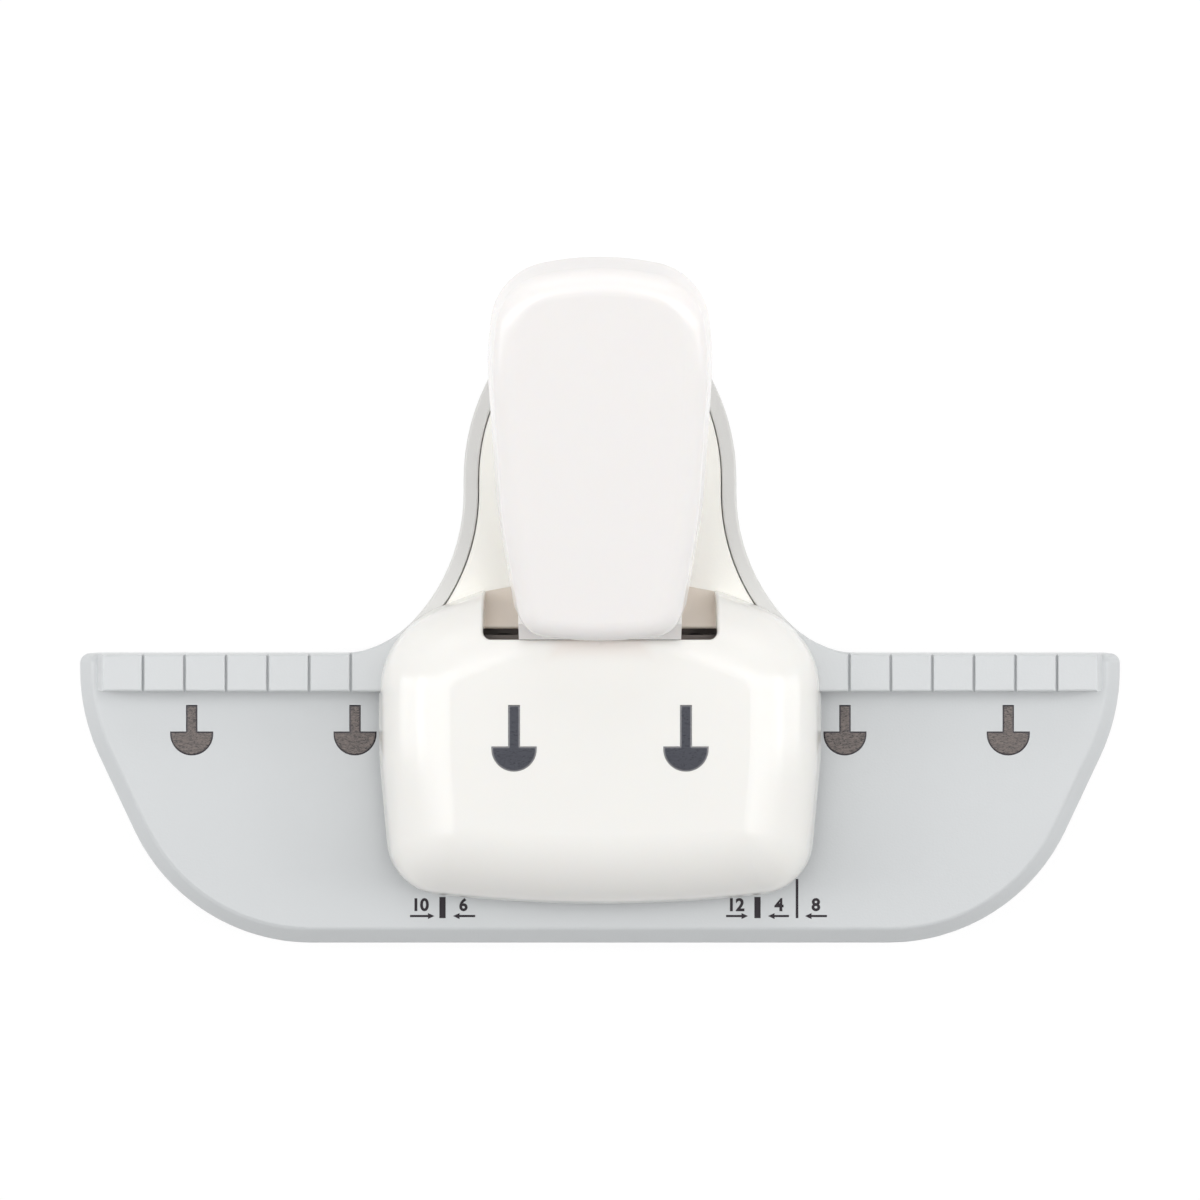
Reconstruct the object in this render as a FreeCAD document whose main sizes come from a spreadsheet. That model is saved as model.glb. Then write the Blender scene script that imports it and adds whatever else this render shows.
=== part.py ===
import FreeCAD, Part
import math
import os
import re

# Disc binding punch: a T-shaped desk punch that cuts two mushroom holes in the edge of a sheet.
# X runs along the paper stop, Y from the front edge to the handle, Z up from the desk, in millimetres.

V = FreeCAD.Vector
doc = FreeCAD.newDocument("disc_binding_punch")
sheet = doc.addObject("Spreadsheet::Sheet", "Dims")

DIMENSIONS = [
    # Base shell: paper table, stop, neck and skirt
    ("foot_height", 1.2), ("wall", 2.0), ("table_top", 10.0), ("table_thick", 1.6),
    ("half_width", 80.13), ("front_edge", -50.4), ("edge_bevel", 2.4),
    ("stop_top", 17.0), ("stop_front", -11.4), ("stop_back", -5.8), ("stop_half", 74.8),
    ("stop_foot", 76.9),
    ("hollow_near", 36.0), ("hollow_far", 73.4), ("hollow_wall", 1.7),
    ("neck_half", 20.54), ("neck_end", 41.4), ("rim_width", 2.2),
    ("window_half", 24.6), ("window_front", -24.6), ("window_back", -1.0),
    ("edge_round", 0.9), ("corner_round", 1.5), ("rim_round", 0.4), ("skirt_round", 0.6),
    ("lip_round", 0.4), ("seam_round", 0.25),
    # Holes, grooves and marks
    ("hole_pitch", 25.0), ("groove_width", 0.36), ("groove_depth", 0.7), ("groove_lip", 0.1),
    ("mark_depth", 0.1), ("mark_head", 3.3), ("mark_stem", 0.87),
    ("table_mark_back", -13.67), ("table_mark_flat", -17.73),
    ("dome_mark_back", -12.87), ("dome_mark_flat", -18.9),
    # Deck
    ("deck_gap", 0.15), ("deck_thick", 2.0), ("deck_seat", 12.0), ("deck_front", -1.2),
    ("deck_window_half", 12.5), ("deck_window_back", 6.5), ("deck_bevel", 0.25),
    # Dome and its rear notch
    ("dome_low", 12.2), ("dome_top", 30.0), ("dome_wall", 1.8), ("dome_taper", 8.0),
    ("dome_round", 10.8), ("seat_gap", 0.05), ("dome_post", 2.8),
    ("notch_half", 17.15), ("notch_front", -3.4), ("notch_back", 12.0), ("notch_corner", 1.2),
    ("ramp_near", 11.95), ("ramp_front", -1.85), ("ramp_high", 23.9), ("ramp_round", 0.3),
    ("ramp_foot_near", 4.75), ("ramp_foot_far", 3.7), ("ramp_root", 0.4),
    # Underside: bottom plate, posts, drawer and feet
    ("bottom_thick", 1.2), ("bottom_gap", 0.3), ("bottom_post", 2.6), ("deck_post", 2.4),
    ("drawer_half", 19.5), ("drawer_low", 2.6), ("drawer_high", 6.0), ("drawer_back", -10.8),
    ("drawer_gap", 0.3), ("drawer_wall", 1.1), ("drawer_face", 2.2), ("drawer_floor", 0.9),
    ("grip_half", 9.0), ("grip_edge", 0.7), ("grip_depth", 1.2),
    ("rail_gap", 0.4), ("rail_thick", 1.4), ("rail_height", 2.4), ("rail_front", -46.0),
    ("rail_back", -12.0), ("foot_low_radius", 4.6), ("foot_top_radius", 5.0),
    # Frame, die and guide plate
    ("plate_thick", 1.6), ("guide_thick", 2.0), ("paper_gap", 2.4), ("plate_gap", 0.2),
    ("punch_fit", 0.04), ("die_fit", 0.06), ("chute_spare", 0.6), ("stem_slot", 1.1),
    ("ear_radius", 4.5), ("ear_gap", 0.7), ("ear_thick", 1.6),
    # Fulcrum, lever, pin and roller
    ("pivot_back", -34.4), ("pivot_up", 21.5), ("shaft_radius", 2.5), ("shaft_half", 13.6),
    ("shaft_neck", 1.9), ("shaft_fit", 0.03),
    ("clip_place", 12.1), ("clip_thick", 0.6), ("clip_radius", 4.2), ("clip_mouth", 1.5),
    ("lever_half", 9.5), ("lever_sheet", 1.5), ("web_low", 3.9), ("web_high", 5.4),
    ("press_arm", 17.0), ("press_gap", 0.15), ("pin_radius", 1.5), ("pin_head", 2.2),
    ("pin_head_thick", 0.4), ("roller_radius", 2.0), ("roller_half", 6.3), ("roller_fit", 0.04),
    # Punches, carrier and springs
    ("punch_rest", 12.8), ("punch_stem", 0.95), ("punch_head", 3.35), ("head_side", 0.37),
    ("punch_flat", -17.7), ("punch_back", -11.15),
    ("rivet_back", -19.3), ("rivet_radius", 1.5), ("rivet_head", 2.3), ("rivet_high", 0.5),
    ("carrier_low", 19.4), ("carrier_thick", 2.0), ("boss_high", 22.85),
    ("spring_radius", 2.8), ("spring_wire", 0.8), ("spring_turns", 6.0), ("spring_place", 14.5),
    ("spring_back", -6.3), ("spring_well", 3.7),
    # Handle
    ("tilt", 15.5), ("rim_back", -2.6), ("rim_up", 30.4), ("paddle_deep", 9.0),
    ("paddle_wall", 1.8), ("paddle_taper", 8.0), ("paddle_round", 3.4),
    ("neck_wide", 11.7), ("neck_wall", 1.7), ("handle_post", 3.0),
    ("liner_low", 0.1), ("liner_thick", 1.4), ("liner_gap", 0.35),
    # Screws and nuts
    ("screw_radius", 1.25), ("screw_reach", 5.0), ("sunk_head", 2.4), ("dome_reach", 7.0),
    ("dome_head_high", 1.4), ("pan_head", 2.3), ("pan_high", 1.5), ("deck_bite", 0.4),
    ("frame_screw", 1.5), ("frame_head", 2.7), ("frame_head_high", 1.3),
    ("base_screw", 1.4), ("base_reach", 7.0), ("nut_radius", 3.0), ("nut_thick", 1.4),
    ("handle_skin", 1.0),
]
for row, (alias, value) in enumerate(DIMENSIONS, start=1):
    sheet.set(f"A{row}", alias)
    sheet.set(f"B{row}", str(value))
    sheet.setAlias(f"B{row}", alias)
doc.recompute()

SIZE = {alias: float(sheet.get(alias)) for alias, _ in DIMENSIONS}


def bind(target, field, formula):
    """Bind one property to a formula over the sheet's names."""
    target.setExpression(field, re.sub(r"[a-z][a-z_]+", lambda word: "Dims." + word.group(0), formula))


# Shared builders for blocks, rods and sketched bodies

def block(name, x, y, z):
    """A box between two corners, each side given as a pair of formulas."""
    box = doc.addObject("Part::Box", name)
    for field, axis, (low, high) in zip(("Length", "Width", "Height"), "xyz", (x, y, z)):
        bind(box, field, f"({high}) - ({low})")
        bind(box, f".Placement.Base.{axis}", low)
    return box


TURNS = {"x": FreeCAD.Rotation(V(0, 1, 0), 90), "z": FreeCAD.Rotation()}


def rod(name, base, radius, length, along="z"):
    """A round rod from its base point, given as three formulas, along X or Z."""
    cylinder = doc.addObject("Part::Cylinder", name)
    cylinder.Placement = FreeCAD.Placement(V(), TURNS[along])
    bind(cylinder, "Radius", radius)
    bind(cylinder, "Height", length)
    for axis, formula in zip("xyz", base):
        bind(cylinder, f".Placement.Base.{axis}", formula)
    return cylinder


def cone(name, base, low_radius, high_radius, height):
    """A cone frustum standing on its base point."""
    frustum = doc.addObject("Part::Cone", name)
    bind(frustum, "Radius1", low_radius)
    bind(frustum, "Radius2", high_radius)
    bind(frustum, "Height", height)
    for axis, formula in zip("xyz", base):
        bind(frustum, f".Placement.Base.{axis}", formula)
    return frustum


def fuse(name, shapes):
    joined = doc.addObject("Part::MultiFuse", name)
    joined.Shapes = shapes
    joined.Refine = True
    return joined


def cut(name, base, tools):
    """The base with every tool taken out of it."""
    result = doc.addObject("Part::Cut", name)
    result.Base = base
    result.Tool = tools[0] if len(tools) == 1 else fuse(name + "_tools", tools)
    result.Refine = True
    return result


def group(name, shapes):
    """Separate like solids kept together as one piece."""
    compound = doc.addObject("Part::Compound", name)
    compound.Links = shapes
    return compound


SMALLEST_ROUND = 0.3


def inset_corners(corners, inset):
    """Move each side of a counterclockwise outline inwards and fit the corner radii to it."""
    count = len(corners)
    sides = []
    for index in range(count):
        start = V(corners[index][0], corners[index][1], 0)
        end = V(corners[(index + 1) % count][0], corners[(index + 1) % count][1], 0)
        along = (end - start).normalize()
        sides.append((start + V(-along.y, along.x, 0) * inset, along))
    moved = []
    for index in range(count):
        (before, way_in), (after, way_out) = sides[index - 1], sides[index]
        turn = way_in.x * way_out.y - way_in.y * way_out.x
        reach = ((after.x - before.x) * way_out.y - (after.y - before.y) * way_out.x) / turn
        radius = corners[index][2]
        if radius > 0:
            radius = max(radius - math.copysign(inset, turn), SMALLEST_ROUND)
        point = before + way_in * reach
        moved.append((point.x, point.y, radius))
    return moved


def outline(corners, inset=0.0):
    """Lines and arcs round a counterclockwise outline of corners (x, y, radius)."""
    if inset:
        corners = inset_corners(corners, inset)
    joints = []
    arcs = []
    for index, (x, y, radius) in enumerate(corners):
        here = V(x, y, 0)
        back = (V(*corners[index - 1][:2], 0) - here).normalize()
        ahead = (V(*corners[(index + 1) % len(corners)][:2], 0) - here).normalize()
        half = back.getAngle(ahead) / 2
        if radius <= 0:
            joints.append((here, here))
            continue
        reach = radius / math.tan(half)
        first, last = here + back * reach, here + ahead * reach
        centre = here + (back + ahead).normalize() * (radius / math.sin(half))
        joints.append((first, last))
        left_turn = back.x * ahead.y - back.y * ahead.x < 0
        start, end = (first, last) if left_turn else (last, first)
        angles = [math.atan2(point.y - centre.y, point.x - centre.x) for point in (start, end)]
        arcs.append(Part.ArcOfCircle(Part.Circle(centre, V(0, 0, 1), radius), *angles))
    lines = []
    for index, (_, leave) in enumerate(joints):
        arrive = joints[(index + 1) % len(joints)][0]
        along = V(*corners[(index + 1) % len(corners)][:2], 0) - V(*corners[index][:2], 0)
        if (arrive - leave).dot(along) < -1e-6:
            raise ValueError(f"the arcs overlap after corner {index}")
        if leave.distanceToPoint(arrive) > 1e-6:
            lines.append(Part.LineSegment(leave, arrive))
    return lines + arcs


def mirrored(half):
    """A whole outline from its right half, listed from the front centre to the rear centre."""
    return half + [(-x, y, radius) for x, y, radius in reversed(half) if x > 0]


def body(name):
    return doc.addObject("PartDesign::Body", name)


def sketch(owner, plane, curves, offset="0", above_rim=None):
    """A sketch on an origin plane moved along its normal, or parallel to the handle's rim."""
    name = f"{owner.Name}_sketch_{len(owner.Group)}"
    drawn = owner.newObject("Sketcher::SketchObject", name)
    support = next(feature for feature in owner.Origin.OriginFeatures if feature.Role == plane)
    drawn.AttachmentSupport = [(support, "")]
    drawn.MapMode = "FlatFace"
    if above_rim is not None:
        drawn.AttachmentOffset = on_rim(0, 0, above_rim)
    else:
        bind(drawn, ".AttachmentOffset.Base.z", offset)
    drawn.addGeometry(curves, False)
    return drawn


def pad(owner, profile, length, taper=None, both_ways=False, backwards=False):
    feature = owner.newObject("PartDesign::Pad", f"{owner.Name}_pad_{len(owner.Group)}")
    feature.Profile = profile
    bind(feature, "Length", length)
    if taper:
        bind(feature, "TaperAngle", taper)
    feature.SideType = "Symmetric" if both_ways else "One side"
    feature.Reversed = backwards
    profile.Visibility = False
    return feature


def loft(owner, profiles):
    """A solid drawn straight from one profile to the next, against the sketches' normal, so that
    its faces come out facing outwards."""
    feature = owner.newObject("PartDesign::AdditiveLoft", f"{owner.Name}_loft_{len(owner.Group)}")
    feature.Profile = profiles[0]
    feature.Sections = profiles[1:]
    feature.Ruled = True
    return feature


def pocket(owner, profile, length, taper=None, both_ways=False, upwards=False):
    """Take the profile out of the body, downwards unless told upwards, and see that it cut."""
    doc.recompute()
    before = owner.Shape.Volume
    feature = owner.newObject("PartDesign::Pocket", f"{owner.Name}_pocket_{len(owner.Group)}")
    feature.Profile = profile
    bind(feature, "Length", length)
    if taper:
        bind(feature, "TaperAngle", taper)
    feature.SideType = "Symmetric" if both_ways else "One side"
    feature.Reversed = upwards
    doc.recompute()
    if owner.Shape.Volume > before - 0.01:
        raise RuntimeError(f"{feature.Name} took nothing away")
    return feature


def edges_where(shape, test):
    """Names of the edges whose middle point passes the test."""
    names = []
    for index, edge in enumerate(shape.Edges, start=1):
        middle = edge.valueAt((edge.FirstParameter + edge.LastParameter) / 2)
        if test(edge, middle):
            names.append(f"Edge{index}")
    return names


def soften(owner, kind, field, formula, test):
    """Fillet or chamfer the edges that pass the test."""
    doc.recompute()
    base = owner.Tip
    names = edges_where(base.Shape, test)
    if not names:
        raise RuntimeError(f"{owner.Name} has no edge to soften")
    feature = owner.newObject("PartDesign::" + kind, f"{owner.Name}_{kind}_{len(owner.Group)}")
    feature.Base = (base, names)
    bind(feature, field, formula)
    doc.recompute()
    return feature


def near(value, target):
    return abs(value - target) < 0.01


def rectangle(x_low, x_high, y_low, y_high, radius=0.0):
    return outline([(x_low, y_low, radius), (x_high, y_low, radius),
                    (x_high, y_high, radius), (x_low, y_high, radius)])


def mushroom(centre, back, flat, stem, head, spare=0.0):
    """The disc binding hole: a straight stem from the paper's edge and a half-round head."""
    wide = head + spare
    front = flat - head - SIZE["head_side"] - spare
    almost_half_round = wide * 0.999
    corners = [(centre - stem - spare, back, 0), (centre - stem - spare, flat + spare, 0),
               (centre - wide, flat + spare, 0), (centre - wide, front, almost_half_round),
               (centre + wide, front, almost_half_round), (centre + wide, flat + spare, 0),
               (centre + stem + spare, flat + spare, 0), (centre + stem + spare, back, 0)]
    return outline(corners)


PITCH = SIZE["hole_pitch"]
HOLES = (-PITCH / 2, PITCH / 2)
TABLE_MARKS = (-2.5 * PITCH, -1.5 * PITCH, 1.5 * PITCH, 2.5 * PITCH)
TILT = math.radians(SIZE["tilt"])
RIM_FRAME = FreeCAD.Placement(V(0, SIZE["rim_back"], SIZE["rim_up"]),
                              FreeCAD.Rotation(V(1, 0, 0), SIZE["tilt"]))


def on_rim(x, along, above):
    """A place in the handle's own frame: along its slope and above its lower rim."""
    return RIM_FRAME * FreeCAD.Placement(V(x, along, above), FreeCAD.Rotation())


def rim_height(y):
    """How high the plane of the handle's lower rim stands over a point."""
    return SIZE["rim_up"] + math.tan(TILT) * (y - SIZE["rim_back"])


# Plan outlines that several pieces share

NECK = [(32.83, SIZE["stop_back"], 16.3), (SIZE["neck_half"], 7.57, 28.0),
        (SIZE["neck_half"], 28.1, 32.3), (14.05, SIZE["neck_end"], 7.5)]
BASE = mirrored([(63.6, SIZE["front_edge"], 30.1), (SIZE["half_width"], -15.3, 31.5),
                 (SIZE["half_width"], SIZE["stop_back"], 0)] + NECK)
UPPER = mirrored([(SIZE["stop_half"], SIZE["stop_front"], 0),
                  (SIZE["stop_half"], SIZE["stop_back"], 0)] + NECK)
NECK_PLAN = mirrored([(32.83, SIZE["stop_back"], 0)] + NECK[1:])
DOME = mirrored([(0, -44.8, 217.0), (31.8, -41.8, 8.8), (33.7, -20.9, 64.7),
                 (33.7, -6.3, 12.8), (27.9, 0.7, 15.6), (0, 11.2, 54.0)])
PADDLE = mirrored([(0, -0.35, 62.0), (11.95, 1.0, 5.5), (14.8, 19.0, 55.0),
                   (16.05, 41.2, 44.0), (14.55, 53.05, 9.3), (0, 55.7, 39.0)])


def both_sides(places):
    return [(side * x, y) for side in (-1, 1) for x, y in places]


def circles(places, radius):
    return [Part.Circle(V(x, y, 0), V(0, 0, 1), radius) for x, y in places]


BOTTOM_POSTS = both_sides([(66, -18), (44, -42), (13, 14), (9, 35)])
DECK_POSTS = both_sides([(15.2, 20), (10.5, 31)])
FEET = both_sides([(54, -13), (31, -43), (9, 26)])
FRAME_BOLTS = both_sides([(22, -6.4), (7, -6.4)])
BASE_BOLTS = both_sides([(28, -9.2)])
DOME_POSTS = both_sides([(22, -28), (22, -13.2)])
SPRING_SEATS = both_sides([(SIZE["spring_place"], SIZE["spring_back"])])
HANDLE_POSTS = (15.0, 33.0)


# Base shell: the grey moulding with the paper table, the grooved paper stop and the rear neck

def far_from(edges):
    """A test that passes on edges whose middle lies well away from all the given edges."""
    return lambda at: min(other.distToShape(Part.Vertex(at))[0] for other in edges) > 1


def base_body():
    shell = body("base_body")
    add_table(shell)
    add_stop_and_neck(shell)
    hollow_underside(shell)
    grooves(shell)
    for x in TABLE_MARKS:
        mark = mushroom(x, SIZE["table_mark_back"], SIZE["table_mark_flat"], SIZE["mark_stem"],
                        SIZE["mark_head"])
        pocket(shell, sketch(shell, "XY_Plane", mark, "table_top"), "mark_depth")
    return shell


def add_table(shell):
    """The flat table with a soft bevel round its front and sides and a skirt below it."""
    top, half, back = SIZE["table_top"], SIZE["half_width"], SIZE["stop_back"]
    bevel_low = top - SIZE["edge_bevel"]
    in_front = back - 0.5
    pad(shell, sketch(shell, "XY_Plane", outline(BASE), "foot_height"), "table_top - foot_height")
    soften(shell, "Chamfer", "Size", "edge_bevel",
           lambda edge, at: near(at.z, top) and at.y < in_front)
    soften(shell, "Fillet", "Radius", "edge_round",
           lambda edge, at: at.y < in_front and edge.BoundBox.ZLength < 0.01
           and (near(at.z, top) or near(at.z, bevel_low)))
    soften(shell, "Fillet", "Radius", "corner_round",
           lambda edge, at: near(at.y, back) and abs(at.x) > half - SIZE["edge_bevel"] - 0.7
           and edge.BoundBox.ZLength > 0.1)
    soften(shell, "Fillet", "Radius", "skirt_round",
           lambda edge, at: near(at.z, SIZE["foot_height"]))


def add_stop_and_neck(shell):
    """The raised stop with its sloping ends, and the neck, with a well inside its rim for the deck
    and the frame."""
    stop_top, table_top = SIZE["stop_top"], SIZE["table_top"]
    below_round = "table_top - corner_round"
    pad(shell, sketch(shell, "XY_Plane", outline(UPPER), below_round), f"stop_top - ({below_round})")
    half, foot = SIZE["stop_half"], SIZE["stop_foot"]
    ends = outline([(-foot, table_top, 0), (foot, table_top, 0), (half, stop_top, 0),
                    (-half, stop_top, 0)])
    pad(shell, sketch(shell, "XZ_Plane", ends, "-stop_back"), "stop_back - stop_front")
    soften(shell, "Fillet", "Radius", "rim_round", lambda edge, at: near(at.z, stop_top))
    outer_rim = [edge for edge in shell.Shape.Edges if near(edge.CenterOfMass.z, stop_top)]
    off_outer_rim = far_from(outer_rim)
    pocket(shell, sketch(shell, "XY_Plane", outline(NECK_PLAN, SIZE["rim_width"]), "stop_top"),
           "stop_top - table_top")
    behind_dome = -3.0
    soften(shell, "Fillet", "Radius", "seam_round",
           lambda edge, at: near(at.z, stop_top) and at.y > behind_dome and off_outer_rim(at))
    window = rectangle(-SIZE["window_half"], SIZE["window_half"], SIZE["window_front"],
                       SIZE["window_back"])
    pocket(shell, sketch(shell, "XY_Plane", window, "stop_top"), "stop_top")


def hollow_underside(shell):
    """Open the shell from below and stand the screw posts and the drawer's mouth in it."""
    pocket(shell, sketch(shell, "XY_Plane", outline(BASE, SIZE["wall"]), "foot_height"),
           "table_top - table_thick - foot_height", upwards=True)
    for side in (-1, 1):
        across = sorted((side * SIZE["hollow_near"], side * SIZE["hollow_far"]))
        hollow = rectangle(*across, SIZE["stop_front"] + SIZE["hollow_wall"],
                           SIZE["stop_back"] - SIZE["hollow_wall"])
        pocket(shell, sketch(shell, "XY_Plane", hollow, "foot_height"),
               "stop_top - table_thick - foot_height", upwards=True)
    pad(shell, sketch(shell, "XY_Plane", circles(BOTTOM_POSTS, SIZE["bottom_post"]),
                      "table_top - table_thick"),
        "table_top - table_thick - foot_height - bottom_thick", backwards=True)
    pad(shell, sketch(shell, "XY_Plane", circles(DECK_POSTS, SIZE["deck_post"]), "table_top"),
        "deck_seat - table_top")
    half = SIZE["drawer_half"] + SIZE["drawer_gap"]
    mouth = rectangle(-half, half, SIZE["foot_height"] + SIZE["bottom_thick"],
                      SIZE["drawer_high"] + SIZE["drawer_gap"])
    pocket(shell, sketch(shell, "XZ_Plane", mouth, "-front_edge + 1"), "wall + 2")


def grooves(shell):
    """Fine grooves across the stop, a quarter of the hole pitch apart, the first at 1.5 pitches."""
    half, lip, top = SIZE["groove_width"] / 2, SIZE["groove_lip"], SIZE["stop_top"]
    first, floor = 1.5 * PITCH, top - SIZE["groove_depth"]
    slit = outline([(first - half, floor, 0), (first + half, floor, 0), (first + half, top - lip, 0),
                    (first + half + 2 * lip, top + lip, 0), (first - half - 2 * lip, top + lip, 0),
                    (first - half, top - lip, 0)])
    groove = pocket(shell, sketch(shell, "XZ_Plane", slit, "-stop_front + 1"),
                    "stop_back - stop_front + 2")
    doc.recompute()
    origin = {feature.Role: feature for feature in shell.Origin.OriginFeatures}
    row = shell.newObject("PartDesign::MultiTransform", "groove_row")
    row.Originals = [groove]
    steps = doc.addObject("PartDesign::LinearPattern", "groove_steps")
    steps.Direction = (origin["X_Axis"], [""])
    bind(steps, "Length", "hole_pitch * 5 / 4")
    steps.Occurrences = 6
    other_side = doc.addObject("PartDesign::Mirrored", "groove_mirror")
    other_side.MirrorPlane = (origin["YZ_Plane"], [""])
    shell.addObject(steps)
    shell.addObject(other_side)
    row.Transformations = [steps, other_side]
    shell.Tip = row
    doc.recompute()


# Fasteners: each set is one piece, and the same solids bore the holes that they sit in

UNDER_TABLE = "table_top - table_thick"
UNDER_FRAME = UNDER_TABLE + " - plate_thick"
GUIDE_LOW = "table_top + paper_gap"


def screw_set(name, places, head, shank):
    """Like screws as one piece. A head is (low, height, low radius, top radius), a shank (low,
    height, radius), all formulas."""
    made = []
    for index, (x, y) in enumerate(places):
        low, height, low_radius, top_radius = head
        knob = cone(f"{name}_head_{index}", (str(x), str(y), low), low_radius, top_radius, height)
        low, height, radius = shank
        stem = rod(f"{name}_shank_{index}", (str(x), str(y), low), radius, height)
        made.append(fuse(f"{name}_{index}", [knob, stem]))
    return group(name, made)


def bottom_screws():
    """Countersunk screws that hold the bottom plate to the posts of the base shell."""
    return screw_set("bottom_screws", BOTTOM_POSTS,
                     ("foot_height", "bottom_thick", "sunk_head", "screw_radius"),
                     ("foot_height + bottom_thick", "screw_reach", "screw_radius"))


def deck_screws():
    """Pan head screws driven from below through the table into the bosses of the deck."""
    return screw_set("deck_screws", DECK_POSTS,
                     (UNDER_TABLE + " - pan_high", "pan_high", "pan_head * 0.85", "pan_head"),
                     (UNDER_TABLE, "stop_top - table_top + deck_bite", "screw_radius"))


def frame_screws():
    """Countersunk machine screws that clamp the upper frame, spacer and lower frame."""
    top = GUIDE_LOW + " + guide_thick"
    shank_low = UNDER_FRAME + " - nut_thick"
    return screw_set("frame_screws", FRAME_BOLTS,
                     (top + " - frame_head_high", "frame_head_high", "frame_screw", "frame_head"),
                     (shank_low, f"{top} - frame_head_high - ({shank_low})", "frame_screw"))


def frame_nuts(screws):
    """Hexagon nuts under the lower frame."""
    made = []
    for index, (x, y) in enumerate(FRAME_BOLTS):
        nut = doc.addObject("Part::Prism", f"frame_nut_{index}")
        nut.Polygon = 6
        bind(nut, "Circumradius", "nut_radius")
        bind(nut, "Height", "nut_thick")
        for axis, formula in zip("xyz", (str(x), str(y), UNDER_FRAME + " - nut_thick")):
            bind(nut, f".Placement.Base.{axis}", formula)
        made.append(nut)
    return cut("frame_nuts", group("nut_blanks", made), [screws])


def base_screws():
    """Pan head screws that hold the lower frame up against the base shell."""
    return screw_set("base_screws", BASE_BOLTS,
                     (UNDER_FRAME + " - pan_high", "pan_high", "pan_head * 0.85", "pan_head"),
                     (UNDER_FRAME, "base_reach", "base_screw"))


def dome_screws():
    """Countersunk screws driven up through the upper frame into the bosses of the dome."""
    return screw_set("dome_screws", DOME_POSTS,
                     (GUIDE_LOW, "dome_head_high", "sunk_head", "screw_radius"),
                     (GUIDE_LOW + " + dome_head_high", "dome_reach", "screw_radius"))


# Underside: bottom plate with drawer rails, rubber feet and the chip drawer

def bottom_plate(screws):
    plate = body("bottom_body")
    pad(plate, sketch(plate, "XY_Plane", outline(BASE, SIZE["wall"] + SIZE["bottom_gap"]),
                      "foot_height"), "bottom_thick")
    inner = SIZE["drawer_half"] + SIZE["rail_gap"]
    for side in (-1, 1):
        across = sorted((side * inner, side * (inner + SIZE["rail_thick"])))
        rail = rectangle(*across, SIZE["rail_front"], SIZE["rail_back"])
        pad(plate, sketch(plate, "XY_Plane", rail, "foot_height + bottom_thick"), "rail_height")
    return cut("bottom_plate", plate, [screws])


def rubber_feet():
    made = [cone(f"foot_{index}", (str(x), str(y), "0"), "foot_low_radius", "foot_top_radius",
                 "foot_height") for index, (x, y) in enumerate(FEET)]
    return group("rubber_feet", made)


def chip_drawer():
    """A shallow tray for the punched chips that slides out of the front edge."""
    tray = body("chip_drawer")
    half, front, back = SIZE["drawer_half"], SIZE["front_edge"], SIZE["drawer_back"]
    wall, edge, corner = SIZE["drawer_wall"], SIZE["grip_edge"], SIZE["corner_round"]
    pad(tray, sketch(tray, "XY_Plane", rectangle(-half, half, front, back), "drawer_low"),
        "drawer_high - drawer_low")
    inside = rectangle(wall - half, half - wall, front + SIZE["drawer_face"], back - wall, corner)
    pocket(tray, sketch(tray, "XY_Plane", inside, "drawer_high"),
           "drawer_high - drawer_low - drawer_floor")
    soften(tray, "Fillet", "Radius", "lip_round", lambda edge, at: near(at.y, front))
    grip_low, grip_high = SIZE["drawer_low"] + edge, SIZE["drawer_high"] - edge
    grip = rectangle(-SIZE["grip_half"], SIZE["grip_half"], grip_low, grip_high,
                     (grip_high - grip_low) * 0.45)
    pocket(tray, sketch(tray, "XZ_Plane", grip, "-front_edge"), "grip_depth")
    return tray


# Deck: the white panel inside the rim of the neck

def deck_cover(screws):
    deck = body("deck_body")
    inset = SIZE["rim_width"] + SIZE["deck_gap"]
    front, back, half = SIZE["deck_front"], SIZE["deck_window_back"], SIZE["deck_window_half"]
    pad(deck, sketch(deck, "XY_Plane", outline(NECK_PLAN, inset), "stop_top"), "deck_thick",
        backwards=True)
    pad(deck, sketch(deck, "XY_Plane", circles(DECK_POSTS, SIZE["deck_post"]),
                     "stop_top - deck_thick"),
        "stop_top - deck_thick - deck_seat", backwards=True)
    hidden_part = rectangle(-2 * SIZE["neck_half"], 2 * SIZE["neck_half"], SIZE["stop_front"], front)
    pocket(deck, sketch(deck, "XY_Plane", hidden_part, "stop_top + 1"), "stop_top")
    window = rectangle(-half, half, front - 1, back)
    pocket(deck, sketch(deck, "XY_Plane", window, "stop_top + 1"), "stop_top")
    soften(deck, "Chamfer", "Size", "deck_bevel",
           lambda edge, at: near(at.z, SIZE["stop_top"]) and at.y > front + 0.1
           and (abs(at.x) > half + 0.1 or at.y > back + 1))
    return cut("deck_cover", deck, [screws])


# Dome: the glossy white cover over the punching mechanism

def dome_form(name, inset, low, top, rounding):
    """The dome as a solid: a tapered plan with a large round along its upper edge."""
    form = body(name)
    pad(form, sketch(form, "XY_Plane", outline(DOME, inset), low), f"{top} - ({low})",
        taper="-dome_taper")
    doc.recompute()
    crown = form.Shape.BoundBox.ZMax
    soften(form, "Fillet", "Radius", rounding, lambda edge, at: near(at.z, crown))
    return form


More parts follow.
